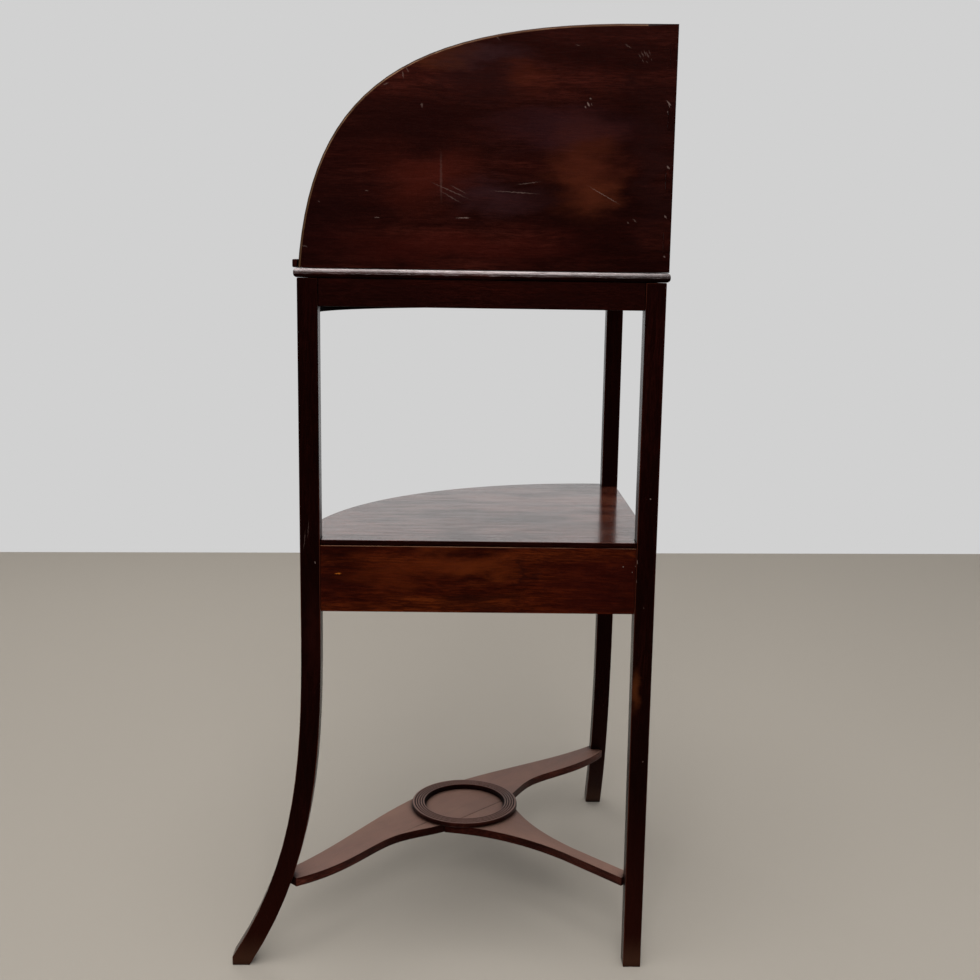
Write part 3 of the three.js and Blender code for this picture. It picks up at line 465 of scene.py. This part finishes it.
# Faces that look downwards, the underside and the lower half of the nose, take a duller finish and
# darker tones, which are painted shade.
shaded_top_underside = mahogany("top_underside_painted_shade", turned_by(ALONG_RIGHT), *rail_tones, gloss=0.5,
                    sheen=0.08)
top = eased("top_board", "stand", top_wood, shaded_top_underside)
LEVEL_SHARE = 0.05  # cosine within which a face counts as upright
two_finished(top, lambda face: face.normal.z < -LEVEL_SHARE)
lip_wood = mahogany("lip_mahogany", bow_place, *top_tones, gloss=0.26)
LIP_ROUND = 0.0015
eased("front_lip", "stand", lip_wood, width=LIP_ROUND, steps=3)


# The splash panels: two thin mahogany boards dovetailed together at the rear corner, each with
# its top sawn to a quarter curve. They stand on the top board, held by screws from below.

panel_tones = (tone(16, 4, 3), tone(35, 11, 8), tone(56, 21, 15))
RIGHT_PANEL_FACE = 0.0018  # how far the right panel's outer face stands outside the legs'


def panel_marks(finish, colour):
    """What has happened to the right panel's outer face: it has faded and darkened in patches,
    has been knocked and scratched, and carries painted sheen in three purple-grey patches."""
    place = grain_place(finish, ALONG_RIGHT)
    colour = patched(finish, colour, place, RIGHT_PANEL_FACE, (
        ((0.094, 0.946), (0.056, 0.070), 0.30, tone(94, 42, 25)),
        ((0.084, 0.926), (0.040, 0.028), 0.20, tone(98, 46, 26)),
        ((0.240, 0.862), (0.200, 0.030), 0.35, tone(64, 18, 12)),
        ((0.270, 0.942), (0.085, 0.060), 0.45, tone(72, 24, 15)),
        ((0.262, 1.068), (0.070, 0.020), 0.28, tone(84, 42, 18)),
        ((0.166, 1.043), (0.045, 0.022), 0.30, tone(80, 32, 14)),
        ((0.280, 0.990), (0.080, 0.042), 1.00, tone(7, 1, 1)),
        ((0.296, 0.985), (0.110, 0.060), 0.60, tone(10, 2, 2)),
        ((0.215, 1.040), (0.075, 0.034), 0.75, tone(13, 6, 7)),
        ((0.041, 1.032), (0.022, 0.020), 0.80, tone(10, 3, 3)),
        ((0.018, 0.950), (0.036, 0.120), 0.60, tone(22, 9, 9)),
        ((0.370, 0.900), (0.075, 0.080), 0.65, tone(14, 3, 3)),
        # painted sheen: these three purple-grey patches stand for the polish's reflection
        ((0.205, 1.064), (0.060, 0.016), 0.25, tone(60, 40, 44)),
        ((0.190, 0.914), (0.080, 0.026), 0.28, tone(62, 38, 42)),
        ((0.120, 0.990), (0.120, 0.030), 0.25, tone(54, 30, 36))), tear=0.7)
    return scratched(finish, colour, place, RIGHT_PANEL_FACE, OLD_SCRATCH, (
        ((0.0948, 0.9323), (0.0525, 0.9093), 0.0006, 0.32),
        ((0.2370, 0.8938), (0.2170, 0.8942), 0.0006, 0.55),
        ((0.3243, 0.8930), (0.3178, 0.8931), 0.0006, 0.45),
        ((0.2677, 0.9337), (0.2158, 0.9122), 0.0007, 0.18),
        ((0.2550, 0.9240), (0.2260, 0.9080), 0.0007, 0.16),
        ((0.2440, 0.9300), (0.2200, 0.9180), 0.0006, 0.16),
        ((0.2016, 0.9237), (0.1389, 0.9205), 0.0006, 0.24),
        ((0.1732, 0.9297), (0.1392, 0.9344), 0.0005, 0.22),
        ((0.2519, 0.9698), (0.2509, 0.9048), 0.0018, 0.07),
        ((0.0945, 1.0190), (0.0915, 1.0130), 0.0010, 0.50),
        ((0.0925, 1.0230), (0.0890, 1.0205), 0.0008, 0.40),
        ((0.0972, 1.0142), (0.0948, 1.0112), 0.0008, 0.42),
        ((0.0903, 1.0172), (0.0888, 1.0146), 0.0006, 0.30),
        ((0.0410, 1.0700), (0.0375, 1.0635), 0.0005, 0.16),
        ((0.0385, 1.0725), (0.0345, 1.0650), 0.0005, 0.20),
        ((0.0355, 1.0735), (0.0320, 1.0660), 0.0006, 0.22),
        ((0.0330, 1.0720), (0.0290, 1.0640), 0.0005, 0.20),
        ((0.0300, 1.0735), (0.0275, 1.0670), 0.0005, 0.18),
        ((0.0370, 1.0640), (0.0345, 1.0595), 0.0005, 0.18),
        ((0.0325, 1.0625), (0.0300, 1.0590), 0.0005, 0.14),
        ((0.0275, 1.0650), (0.0255, 1.0610), 0.0005, 0.14),
        ((0.2940, 1.0480), (0.2920, 1.0380), 0.0008, 0.26),
        ((0.3150, 1.0320), (0.3080, 1.0350), 0.0008, 0.24),
        ((0.2730, 1.0150), (0.2722, 1.0090), 0.0016, 0.20),
        ((0.0050, 1.0580), (0.0020, 1.0570), 0.0014, 0.50),
        ((0.0090, 1.0220), (0.0030, 1.0150), 0.0008, 0.45),
        ((0.0062, 1.0190), (0.0048, 1.0120), 0.0006, 0.35),
        ((0.0080, 1.0100), (0.0025, 1.0080), 0.0016, 0.45),
        ((0.0060, 0.9530), (0.0020, 0.9490), 0.0012, 0.40),
        ((0.0070, 0.9010), (0.0030, 0.8960), 0.0010, 0.30),
        ((0.0060, 0.8560), (0.0030, 0.8550), 0.0012, 0.45),
        ((0.0560, 1.0790), (0.0480, 1.0740), 0.0010, 0.14),
        ((0.2490, 1.0870), (0.2480, 1.0730), 0.0008, 0.20),
        ((0.2280, 1.0830), (0.2190, 1.0790), 0.0007, 0.18),
        ((0.1960, 1.0860), (0.1880, 1.0790), 0.0006, 0.16),
        ((0.1250, 1.0960), (0.1100, 1.0950), 0.0020, 0.14),
        ((0.2900, 1.0520), (0.2870, 1.0450), 0.0006, 0.22),
        ((0.1090, 1.0770), (0.1030, 1.0760), 0.0006, 0.20),
        ((0.0410, 0.8960), (0.0360, 0.8920), 0.0007, 0.22),
        ((0.0480, 0.8930), (0.0440, 0.8905), 0.0006, 0.20),
        ((0.3350, 0.9220), (0.3300, 0.9210), 0.0007, 0.26),
        ((0.3860, 0.9100), (0.3830, 0.9080), 0.0006, 0.20),
        ((0.4040, 0.8620), (0.3960, 0.8600), 0.0007, 0.20)))


def rubbed_round(outwards):
    """A pale line along the start of the panels' rounded edge, where the polish is rubbed off."""
    def line(finish, colour):
        facing = node(finish, "NewGeometry").outputs["Normal"]
        tilt = vector_sum(finish, "DOT_PRODUCT", facing, outwards).outputs["Value"]
        flat = sum_of(finish, "ABSOLUTE", tilt)
        there = product(finish, spread(finish, flat, 0.80, 0.93),
                        spread(finish, flat, 0.975, 0.999, 1.0, 0.0))
        worn = noise(finish, node(finish, "TexCoord").outputs["Object"], (60, 60, 60))
        there = product(finish, there, spread(finish, worn, 0.38, 0.6, 0.35, 0.85))
        return laid_over(finish, "MIX", there, colour, tone(138, 108, 82))
    return line


PANEL_ROUND = 0.003
CLEAR_OF_BOARD = 0.84  # height past which a panel's edge is clear of the board it stands on
CLEAR_OF_DOVETAILS = 0.02  # how far from the rear corner it is clear of the dovetails


def is_free_of_joints(middle):
    """Whether a place on a panel is clear of the board below and of the dovetails."""
    from_corner = math.hypot(middle.x, middle.y - REAR_CORNER[1])
    return middle.z > CLEAR_OF_BOARD and from_corner > CLEAR_OF_DOVETAILS


for side, turn in side_turns.items():
    outwards = Vector((1 if side == "right" else -1, 1, 0)).normalized()
    panel_wood = mahogany(side + "_panel_mahogany", turned_by(turn), *panel_tones, gloss=0.3,
                          figure=0.8, sheen=0.14, marks=panel_marks if side == "right" else None)
    panel_round = mahogany(side + "_panel_round", turned_by(turn), *panel_tones, gloss=0.34,
                           worn=tone(58, 40, 24), marks=rubbed_round(outwards))
    eased(side + "_splash_panel", "stand", panel_wood, panel_round,
          width=PANEL_ROUND, steps=5, is_free=is_free_of_joints)


# The shelf: a thin bow-fronted mahogany board let in between the legs over the drawer. Its top
# is glossy with polish, and its colour is painted pale and warm as a painted reflection of the pale
# wall; its edges are painted dark as shade. The grain runs along the right side.

# The top's pale warm tones are a painted reflection, and the edges' dark tones are painted shade.
shelf_top_painted_reflection = mahogany("shelf_top_mahogany_painted_reflection", turned_by(ALONG_RIGHT), tone(92, 46, 33),
                          tone(114, 62, 46), tone(132, 78, 59), gloss=0.14, figure=0.65, ripple=0.4,
                          sheen=0.35, polish=0.65)
shelf_edge_painted_shade = mahogany("shelf_edge_mahogany_painted_shade", turned_by(ALONG_RIGHT), tone(14, 3, 2),
                           tone(26, 7, 5), tone(40, 14, 9), gloss=0.3, sheen=0.2)
shelf = eased("shelf_board", "stand", shelf_top_painted_reflection, shelf_edge_painted_shade)
UPWARD_SHARE = 0.7  # cosine to straight up, past which a face counts as the shelf's top
two_finished(shelf, lambda face: face.normal.z <= UPWARD_SHARE)


# The shelf tier: straight aprons at the sides, bars above and below the drawer opening, and
# the dummy fronts beside it, all mahogany, and bow-fronted where they face forwards.

apron_tones = (tone(46, 10, 4), tone(66, 21, 6), tone(94, 40, 13))
RIGHT_APRON_FACE = -0.001  # the right apron's outer face is this much inside the legs'
UPPER_EDGE = 0.52  # height past which an edge of an apron is its upper one


def apron_marks(finish, colour):
    """The right apron's outer face: paler and darker places, a bare fleck and specks of lime."""
    place = grain_place(finish, ALONG_RIGHT)
    colour = patched(finish, colour, place, RIGHT_APRON_FACE, (
        ((0.300, 0.4900), (0.100, 0.030), 0.30, tone(96, 38, 12)),
        ((0.225, 0.5060), (0.110, 0.026), 0.60, tone(84, 33, 11)),
        ((0.205, 0.4980), (0.050, 0.018), 0.30, tone(100, 42, 13)),
        ((0.150, 0.4960), (0.012, 0.022), 0.70, tone(18, 4, 3)),
        ((0.200, 0.4640), (0.055, 0.016), 0.60, tone(24, 6, 3)),
        ((0.070, 0.4800), (0.090, 0.070), 0.50, tone(36, 6, 4)),
        ((0.017, 0.4850), (0.012, 0.060), 0.80, tone(8, 2, 2)),
        ((0.385, 0.4800), (0.020, 0.050), 0.40, tone(28, 6, 4))))
    colour = scratched(finish, colour, place, RIGHT_APRON_FACE, tone(176, 98, 30),
                       (((0.3710, 0.4915), (0.3620, 0.4917), 0.0011, 0.7),))
    return scratched(finish, colour, place, RIGHT_APRON_FACE, tone(190, 176, 168), (
        ((0.0388, 0.5030), (0.0372, 0.5030), 0.0008, 0.6),
        ((0.0238, 0.5044), (0.0222, 0.5044), 0.0008, 0.5),
        ((0.0280, 0.4970), (0.0268, 0.4970), 0.0007, 0.4)))


def is_upper_edge_worn_and_lit(middle):
    """Whether a place is on an apron's upper edge, whose round is painted pale, partly as wear and
    partly as a painted highlight.
    """
    return middle.z > UPPER_EDGE


# The aprons' upper rounded edges are painted pale: wear, and a painted highlight where the edge
# catches the light.
for side, turn in side_turns.items():
    apron_looks = {"gloss": 0.36, "sheen": 0.2, "figure": 0.85,
                   "marks": apron_marks if side == "right" else None}
    eased(side + "_apron", "stand",
          mahogany(side + "_apron_mahogany", turned_by(turn), *apron_tones, **apron_looks),
          mahogany(side + "_apron_arris_worn_and_highlit", turned_by(turn), *apron_tones, worn=tone(110, 78, 58),
                   **apron_looks), is_free=is_upper_edge_worn_and_lit)
bow_wood = mahogany("bow_mahogany", bow_place, *apron_tones, gloss=0.33, sheen=0.25)
for part in ("front_top_bar", "front_bottom_bar", "left_dummy_front", "right_dummy_front",
             "left_drawer_post", "right_drawer_post"):
    eased(part, "stand", bow_wood)
BEAD_ROUND = 0.0009
for part in ("left_dummy_bead", "right_dummy_bead"):
    eased(part, "stand", bow_wood, width=BEAD_ROUND, steps=3)


# The drawer's bearers: oak runners and guides, planed but never polished, and glued inside the
# shelf tier for the drawer's sides to slide on and between.

oak_tones = (tone(92, 62, 36), tone(128, 92, 58), tone(154, 116, 76))
FRONT_TO_BACK = (0, 0, math.pi / 2)
oak_wood = mahogany("drawer_oak", turned_by(FRONT_TO_BACK), *oak_tones, gloss=0.6, figure=0.9)
for part in ("left_drawer_runner", "right_drawer_runner", "left_drawer_guide",
             "right_drawer_guide"):
    eased(part, "stand", oak_wood, width=ROUGH_ROUND, steps=1)


# The drawer: a bow-fronted mahogany front with a cockbead let in round it. Its thin sides are
# oak, dovetailed to the front, with an oak back between them and an oak bottom in their grooves.

eased("drawer_front", "drawer", bow_wood)
eased("drawer_bead", "drawer", bow_wood, width=BEAD_ROUND, steps=3)
for part in ("left_drawer_side", "right_drawer_side"):
    eased(part, "drawer", oak_wood, width=ROUGH_ROUND, steps=1)
ACROSS_STAND = (0, 0, 0)
across_wood = mahogany("drawer_oak_across", turned_by(ACROSS_STAND), *oak_tones, gloss=0.6,
                       figure=0.9)
for part in ("drawer_back", "drawer_bottom"):
    eased(part, "drawer", across_wood, width=ROUGH_ROUND, steps=1)


# The knobs: turned brass, tarnished brown in blotches, each on a shank driven into its front.
# The iron screws that hold the panels from below are here too.

brass = bpy.data.materials.new("knob_brass")
brass.use_nodes = True
brass_shader = brass.node_tree.nodes["Principled BSDF"]
tarnish = noise(brass, node(brass, "TexCoord").outputs["Object"], (160, 160, 160), detail=4)
feed(brass, brass_shader.inputs["Base Color"],
     laid_over(brass, "MIX", spread(brass, tarnish, 0.4, 0.65), tone(190, 146, 78),
               tone(112, 78, 40)))
feed(brass, brass_shader.inputs["Roughness"], spread(brass, tarnish, 0.3, 0.7, 0.2, 0.42))
brass_shader.inputs["Metallic"].default_value = 1.0


TURNED_POINT = 0.00003  # radius at which a section has come to a point
POINT_MERGE = 0.000045  # corners nearer than this are made one, which closes a point
TURNED_ANGLE = math.radians(40)  # a turned edge sharper than this stays crisp


def from_lathe(name, profile, steps):
    """A turned piece standing on Z, from radius and height pairs along its section. A section
    that ends at a point is closed there, and one that ends where it began makes a ring."""
    bpy.ops.object.select_all(action="DESELECT")
    radius, height = profile[0]
    bpy.ops.mesh.primitive_circle_add(vertices=steps, radius=radius, location=(0, 0, height))
    piece = bpy.context.active_object
    piece.name = name
    bpy.ops.object.transform_apply(location=True)
    bpy.ops.object.mode_set(mode="EDIT")
    bpy.ops.mesh.select_all(action="SELECT")
    for next_radius, next_height in profile[1:]:
        grow = next_radius / radius
        bpy.ops.mesh.extrude_edges_move()
        bpy.ops.transform.resize(value=(grow, grow, 1))
        bpy.ops.transform.translate(value=(0, 0, next_height - height))
        radius, height = next_radius, next_height
    bpy.ops.mesh.select_all(action="SELECT")
    bpy.ops.mesh.remove_doubles(threshold=POINT_MERGE)
    bpy.ops.mesh.normals_make_consistent(inside=False)
    bpy.ops.object.mode_set(mode="OBJECT")
    bpy.ops.object.shade_smooth_by_angle(angle=TURNED_ANGLE)
    return piece


KNOB_PLACE = 0.38040  # from the centre of the bow to the seat of a knob
KNOB_HEIGHT = 0.48745  # of a knob's middle above the floor
DUMMY_TURN = 0.5634  # angle round the bow from the drawer's knob to a dummy's
KNOB_TURNS = {"drawer": 0.0, "left_dummy": -DUMMY_TURN, "right_dummy": DUMMY_TURN}
KNOB_STEPS = 40
knob_section = [
    (TURNED_POINT, -0.0110), (0.0022, -0.0110), (0.0022, 0.0002), (0.0063, 0.0002),
    (0.0066, 0.0006), (0.0066, 0.0013), (0.0062, 0.0019), (0.0048, 0.0023), (0.0036, 0.0027),
    (0.0030, 0.0034), (0.0027, 0.0046), (0.0027, 0.0060), (0.0030, 0.0070), (0.0038, 0.0078),
    (0.0046, 0.0081), (0.0048, 0.0086), (0.0053, 0.0090), (0.0062, 0.0102), (0.0068, 0.0116),
    (0.0069, 0.0128), (0.0066, 0.0139), (0.0059, 0.0149), (0.0050, 0.0155), (0.0047, 0.0154),
    (0.0043, 0.0158), (0.0030, 0.0164), (0.0015, 0.0167), (TURNED_POINT, 0.0168),
]
for front, turn in KNOB_TURNS.items():
    knob = from_lathe(front + "_knob_turned", knob_section, KNOB_STEPS)
    knob.location = (KNOB_PLACE * math.sin(turn), BOW_CENTRE - KNOB_PLACE * math.cos(turn),
                     KNOB_HEIGHT)
    knob.rotation_euler = (math.pi / 2, 0, turn)
    pick(knob)
    bpy.ops.object.transform_apply(location=True, rotation=True)
    coated(knob, brass)
    fitted(knob, front + "_knob", "drawer" if front == "drawer" else "stand")

iron = bpy.data.materials.new("screw_iron")
iron.use_nodes = True
iron_shader = iron.node_tree.nodes["Principled BSDF"]
rust = noise(iron, node(iron, "TexCoord").outputs["Object"], (500, 500, 500), detail=4)
feed(iron, iron_shader.inputs["Base Color"],
     laid_over(iron, "MIX", spread(iron, rust, 0.4, 0.6), tone(70, 66, 64), tone(84, 50, 32)))
feed(iron, iron_shader.inputs["Roughness"], spread(iron, rust, 0.3, 0.7, 0.4, 0.7))
iron_shader.inputs["Metallic"].default_value = 0.8
SCREW_ROUND = 0.0002
for part in ("left_rear_panel_screw", "right_rear_panel_screw", "left_front_panel_screw",
             "right_front_panel_screw"):
    eased(part, "stand", iron, width=SCREW_ROUND, steps=1)


# The stretcher: a wavy cross piece tenoned into the front legs and a rear arm lapped under it,
# flat mahogany boards that carry a turned ring for the ewer, and a good deal of dust.

stretcher_tones = (tone(48, 18, 13), tone(78, 36, 27), tone(102, 56, 44))
stretcher_dust = tone(147, 114, 100)
for part, material, turn in (("cross_stretcher", "cross_mahogany", ACROSS_STAND),
                             ("rear_stretcher", "rear_arm_mahogany", FRONT_TO_BACK)):
    eased(part, "stand",
          mahogany(material, turned_by(turn), *stretcher_tones, gloss=0.42, dust=stretcher_dust))

ring_tones = (tone(34, 14, 11), tone(56, 27, 21), tone(78, 43, 34))
ring_wood = mahogany("ring_mahogany", turned_by(ACROSS_STAND), *ring_tones, gloss=0.4,
                     dust=tone(134, 105, 95))
# The ring's inner wall and the quirks between its reeds take a darker copy of its wood: painted
# shade.
ring_shade_tones = (tone(12, 5, 4), tone(20, 9, 7), tone(30, 15, 12))
ring_painted_shade = mahogany("ring_inner_painted_shade", turned_by(ACROSS_STAND), *ring_shade_tones, gloss=0.6,
                      sheen=0.1)
RING_PLACE = (0, -0.09147, 0)
RING_OUTER, RING_INNER = 0.072, 0.0535  # radii
RING_BOTTOM, RING_TOP = 0.1113, 0.1178
RING_STEPS = 96
RIM_WIDTH, REED_WIDTH, REED_COUNT = 0.0040, 0.0033, 4
QUIRK_DEPTH = 0.0020  # how far the quirks between the reeds lie below their crowns
QUIRK_NICK = 0.0004  # how much deeper the tool's point went between two reeds
LOWER_ROUND = 0.0010  # chamfer round the ring's foot, and the step below its rim
INNER_ROUND, INNER_DROP = 0.0005, 0.0006  # breadth and depth of the round on its inner edge
HALF_ROUND_STEPS = 8
WALL_MARGIN = 0.0003  # how far from its inner radius a face still belongs to its inner wall


def half_round(outer, width, crown, low):
    """The section of a reed, from its outer quirk over its crown to its inner one."""
    turns = [math.pi * step / HALF_ROUND_STEPS for step in range(1, HALF_ROUND_STEPS)]
    return [(outer - width / 2 + width / 2 * math.cos(turn),
             low + (crown - low) * math.sin(turn)) for turn in turns]


quirk = RING_TOP - QUIRK_DEPTH
ring_section = [(RING_INNER, RING_BOTTOM), (RING_OUTER - LOWER_ROUND, RING_BOTTOM),
                (RING_OUTER, RING_BOTTOM + LOWER_ROUND), (RING_OUTER, quirk - LOWER_ROUND),
                (RING_OUTER, quirk)]
reed = RING_OUTER
for width in [RIM_WIDTH] + [REED_WIDTH] * REED_COUNT:
    ring_section += half_round(reed, width, RING_TOP, quirk)
    reed -= width
    ring_section.append((reed, quirk - QUIRK_NICK))
ring_section += [(RING_INNER + INNER_ROUND, quirk), (RING_INNER, quirk - INNER_DROP),
                 (RING_INNER, RING_BOTTOM)]
ring = from_lathe("dish_ring_turned", ring_section, RING_STEPS)
ring.location = RING_PLACE
pick(ring)
bpy.ops.object.transform_apply(location=True)
coated(ring, ring_wood, ring_painted_shade)


def is_in_painted_shade(face):
    """Whether a face of the ring is on its inner wall or low between two reeds, where its colour is
    painted dark as shade.
    """
    from_middle = math.hypot(face.center.x - RING_PLACE[0], face.center.y - RING_PLACE[1])
    is_inner_wall = from_middle < RING_INNER + WALL_MARGIN
    is_low = abs(face.center.z - quirk) < QUIRK_DEPTH / 2
    return is_inner_wall or (is_low and from_middle < RING_OUTER - RIM_WIDTH / 2)


two_finished(ring, is_in_painted_shade)
fitted(ring, "dish_ring", "stand")
PEG_ROUND = 0.0003
for part in ("left_ring_peg", "right_ring_peg", "rear_ring_peg"):
    eased(part, "stand", ring_wood, width=PEG_ROUND, steps=1)


# The studio: a pale floor and wall under an even sky of soft light, with a weak sun and three
# large soft lamps, and the photograph's view.

def seen_rays(place):
    """1 for rays that show the backdrop: straight, mirrored or through glass."""
    rays = node(place, "LightPath").outputs
    return sum_of(place, "MAXIMUM", rays["Is Camera Ray"],
                  sum_of(place, "MAXIMUM", rays["Is Glossy Ray"], rays["Is Transmission Ray"]))


def stage_sheet(name, size, location, rotation, colour, glow=None):
    """A flat sheet of the studio. glow is the plain colour that seen_rays show it in."""
    bpy.ops.object.select_all(action="DESELECT")
    bpy.ops.mesh.primitive_plane_add(size=size, location=location, rotation=rotation)
    sheet = bpy.context.active_object
    sheet.name = name
    surface = bpy.data.materials.new(name)
    surface.use_nodes = True
    shader = surface.node_tree.nodes["Principled BSDF"]
    shader.inputs["Base Color"].default_value = colour
    shader.inputs["Roughness"].default_value = 0.8
    shader.inputs["Specular IOR Level"].default_value = 0.1
    if glow:
        plain = node(surface, "Emission", Color=glow, Strength=1.0)
        mixed = node(surface, "MixShader", Fac=seen_rays(surface))
        links = surface.node_tree.links
        links.new(shader.outputs[0], mixed.inputs[1])
        links.new(plain.outputs[0], mixed.inputs[2])
        links.new(mixed.outputs[0], surface.node_tree.nodes["Material Output"].inputs[0])
    sheet.data.materials.append(surface)


FLOOR_SIZE, WALL_SIZE = 40, 12
WALL_TURN = math.radians(137.3)
WALL_DISTANCE = 2.104  # from the middle of the stand
BACKDROP = tone(209, 209, 209)
wall_normal = Vector((math.sin(WALL_TURN), -math.cos(WALL_TURN), 0))
wall_place = Vector((0, 0, WALL_SIZE / 2)) - wall_normal * WALL_DISTANCE
stage_sheet("floor", FLOOR_SIZE, (0, 0, 0), (0, 0, 0), tone(168, 160, 149))
stage_sheet("wall", WALL_SIZE, wall_place, (math.pi / 2, 0, WALL_TURN), tone(214, 214, 214),
            glow=BACKDROP)

world = bpy.data.worlds.new("studio")
bpy.context.scene.world = world
world.use_nodes = True
background = world.node_tree.nodes["Background"]
feed(world, background.inputs["Color"],
     laid_over(world, "MIX", seen_rays(world), tone(165, 167, 170), BACKDROP))
background.inputs["Strength"].default_value = 1.0


def lamp(kind, place, aim, strength):
    """A lamp that points at a place."""
    bpy.ops.object.light_add(type=kind, location=place)
    made = bpy.context.active_object
    made.rotation_euler = (Vector(aim) - made.location).to_track_quat("-Z", "Y").to_euler()
    made.data.energy = strength
    return made.data


lamp("SUN", (1.0, 0.6, 3.0), (0, 0, 0.4), 0.7).angle = math.radians(70)
soft_lamps = (
    ("DISK", 1.6, (0.55, 0.4, 3.2), (0, 0, 0.5), 28),  # overhead
    ("SQUARE", 1.2, (1.75, 1.65, 2.1), (0.1, 0.1, 0.8), 34),  # beside the camera
    ("SQUARE", 1.6, (-0.9, -2.0, 1.7), (0, 0, 0.7), 16),  # in front of the stand
)
for shape, size, place, aim, strength in soft_lamps:
    soft = lamp("AREA", place, aim, strength)
    soft.shape = shape
    soft.size = size

CAMERA_PLACE = (1.1265, 1.0352, 0.8335)
CAMERA_TURN = [math.radians(turn) for turn in (80.026, -0.849, 134.121)]
FILM_WIDTH, FOCAL_LENGTH = 36, 45.035  # millimetres
bpy.ops.object.camera_add(location=CAMERA_PLACE, rotation=CAMERA_TURN)
camera = bpy.context.active_object
camera.data.sensor_width = FILM_WIDTH
camera.data.lens = FOCAL_LENGTH
camera.data.clip_start = 0.05
bpy.context.scene.camera = camera
bpy.context.scene.view_settings.view_transform = "Standard"
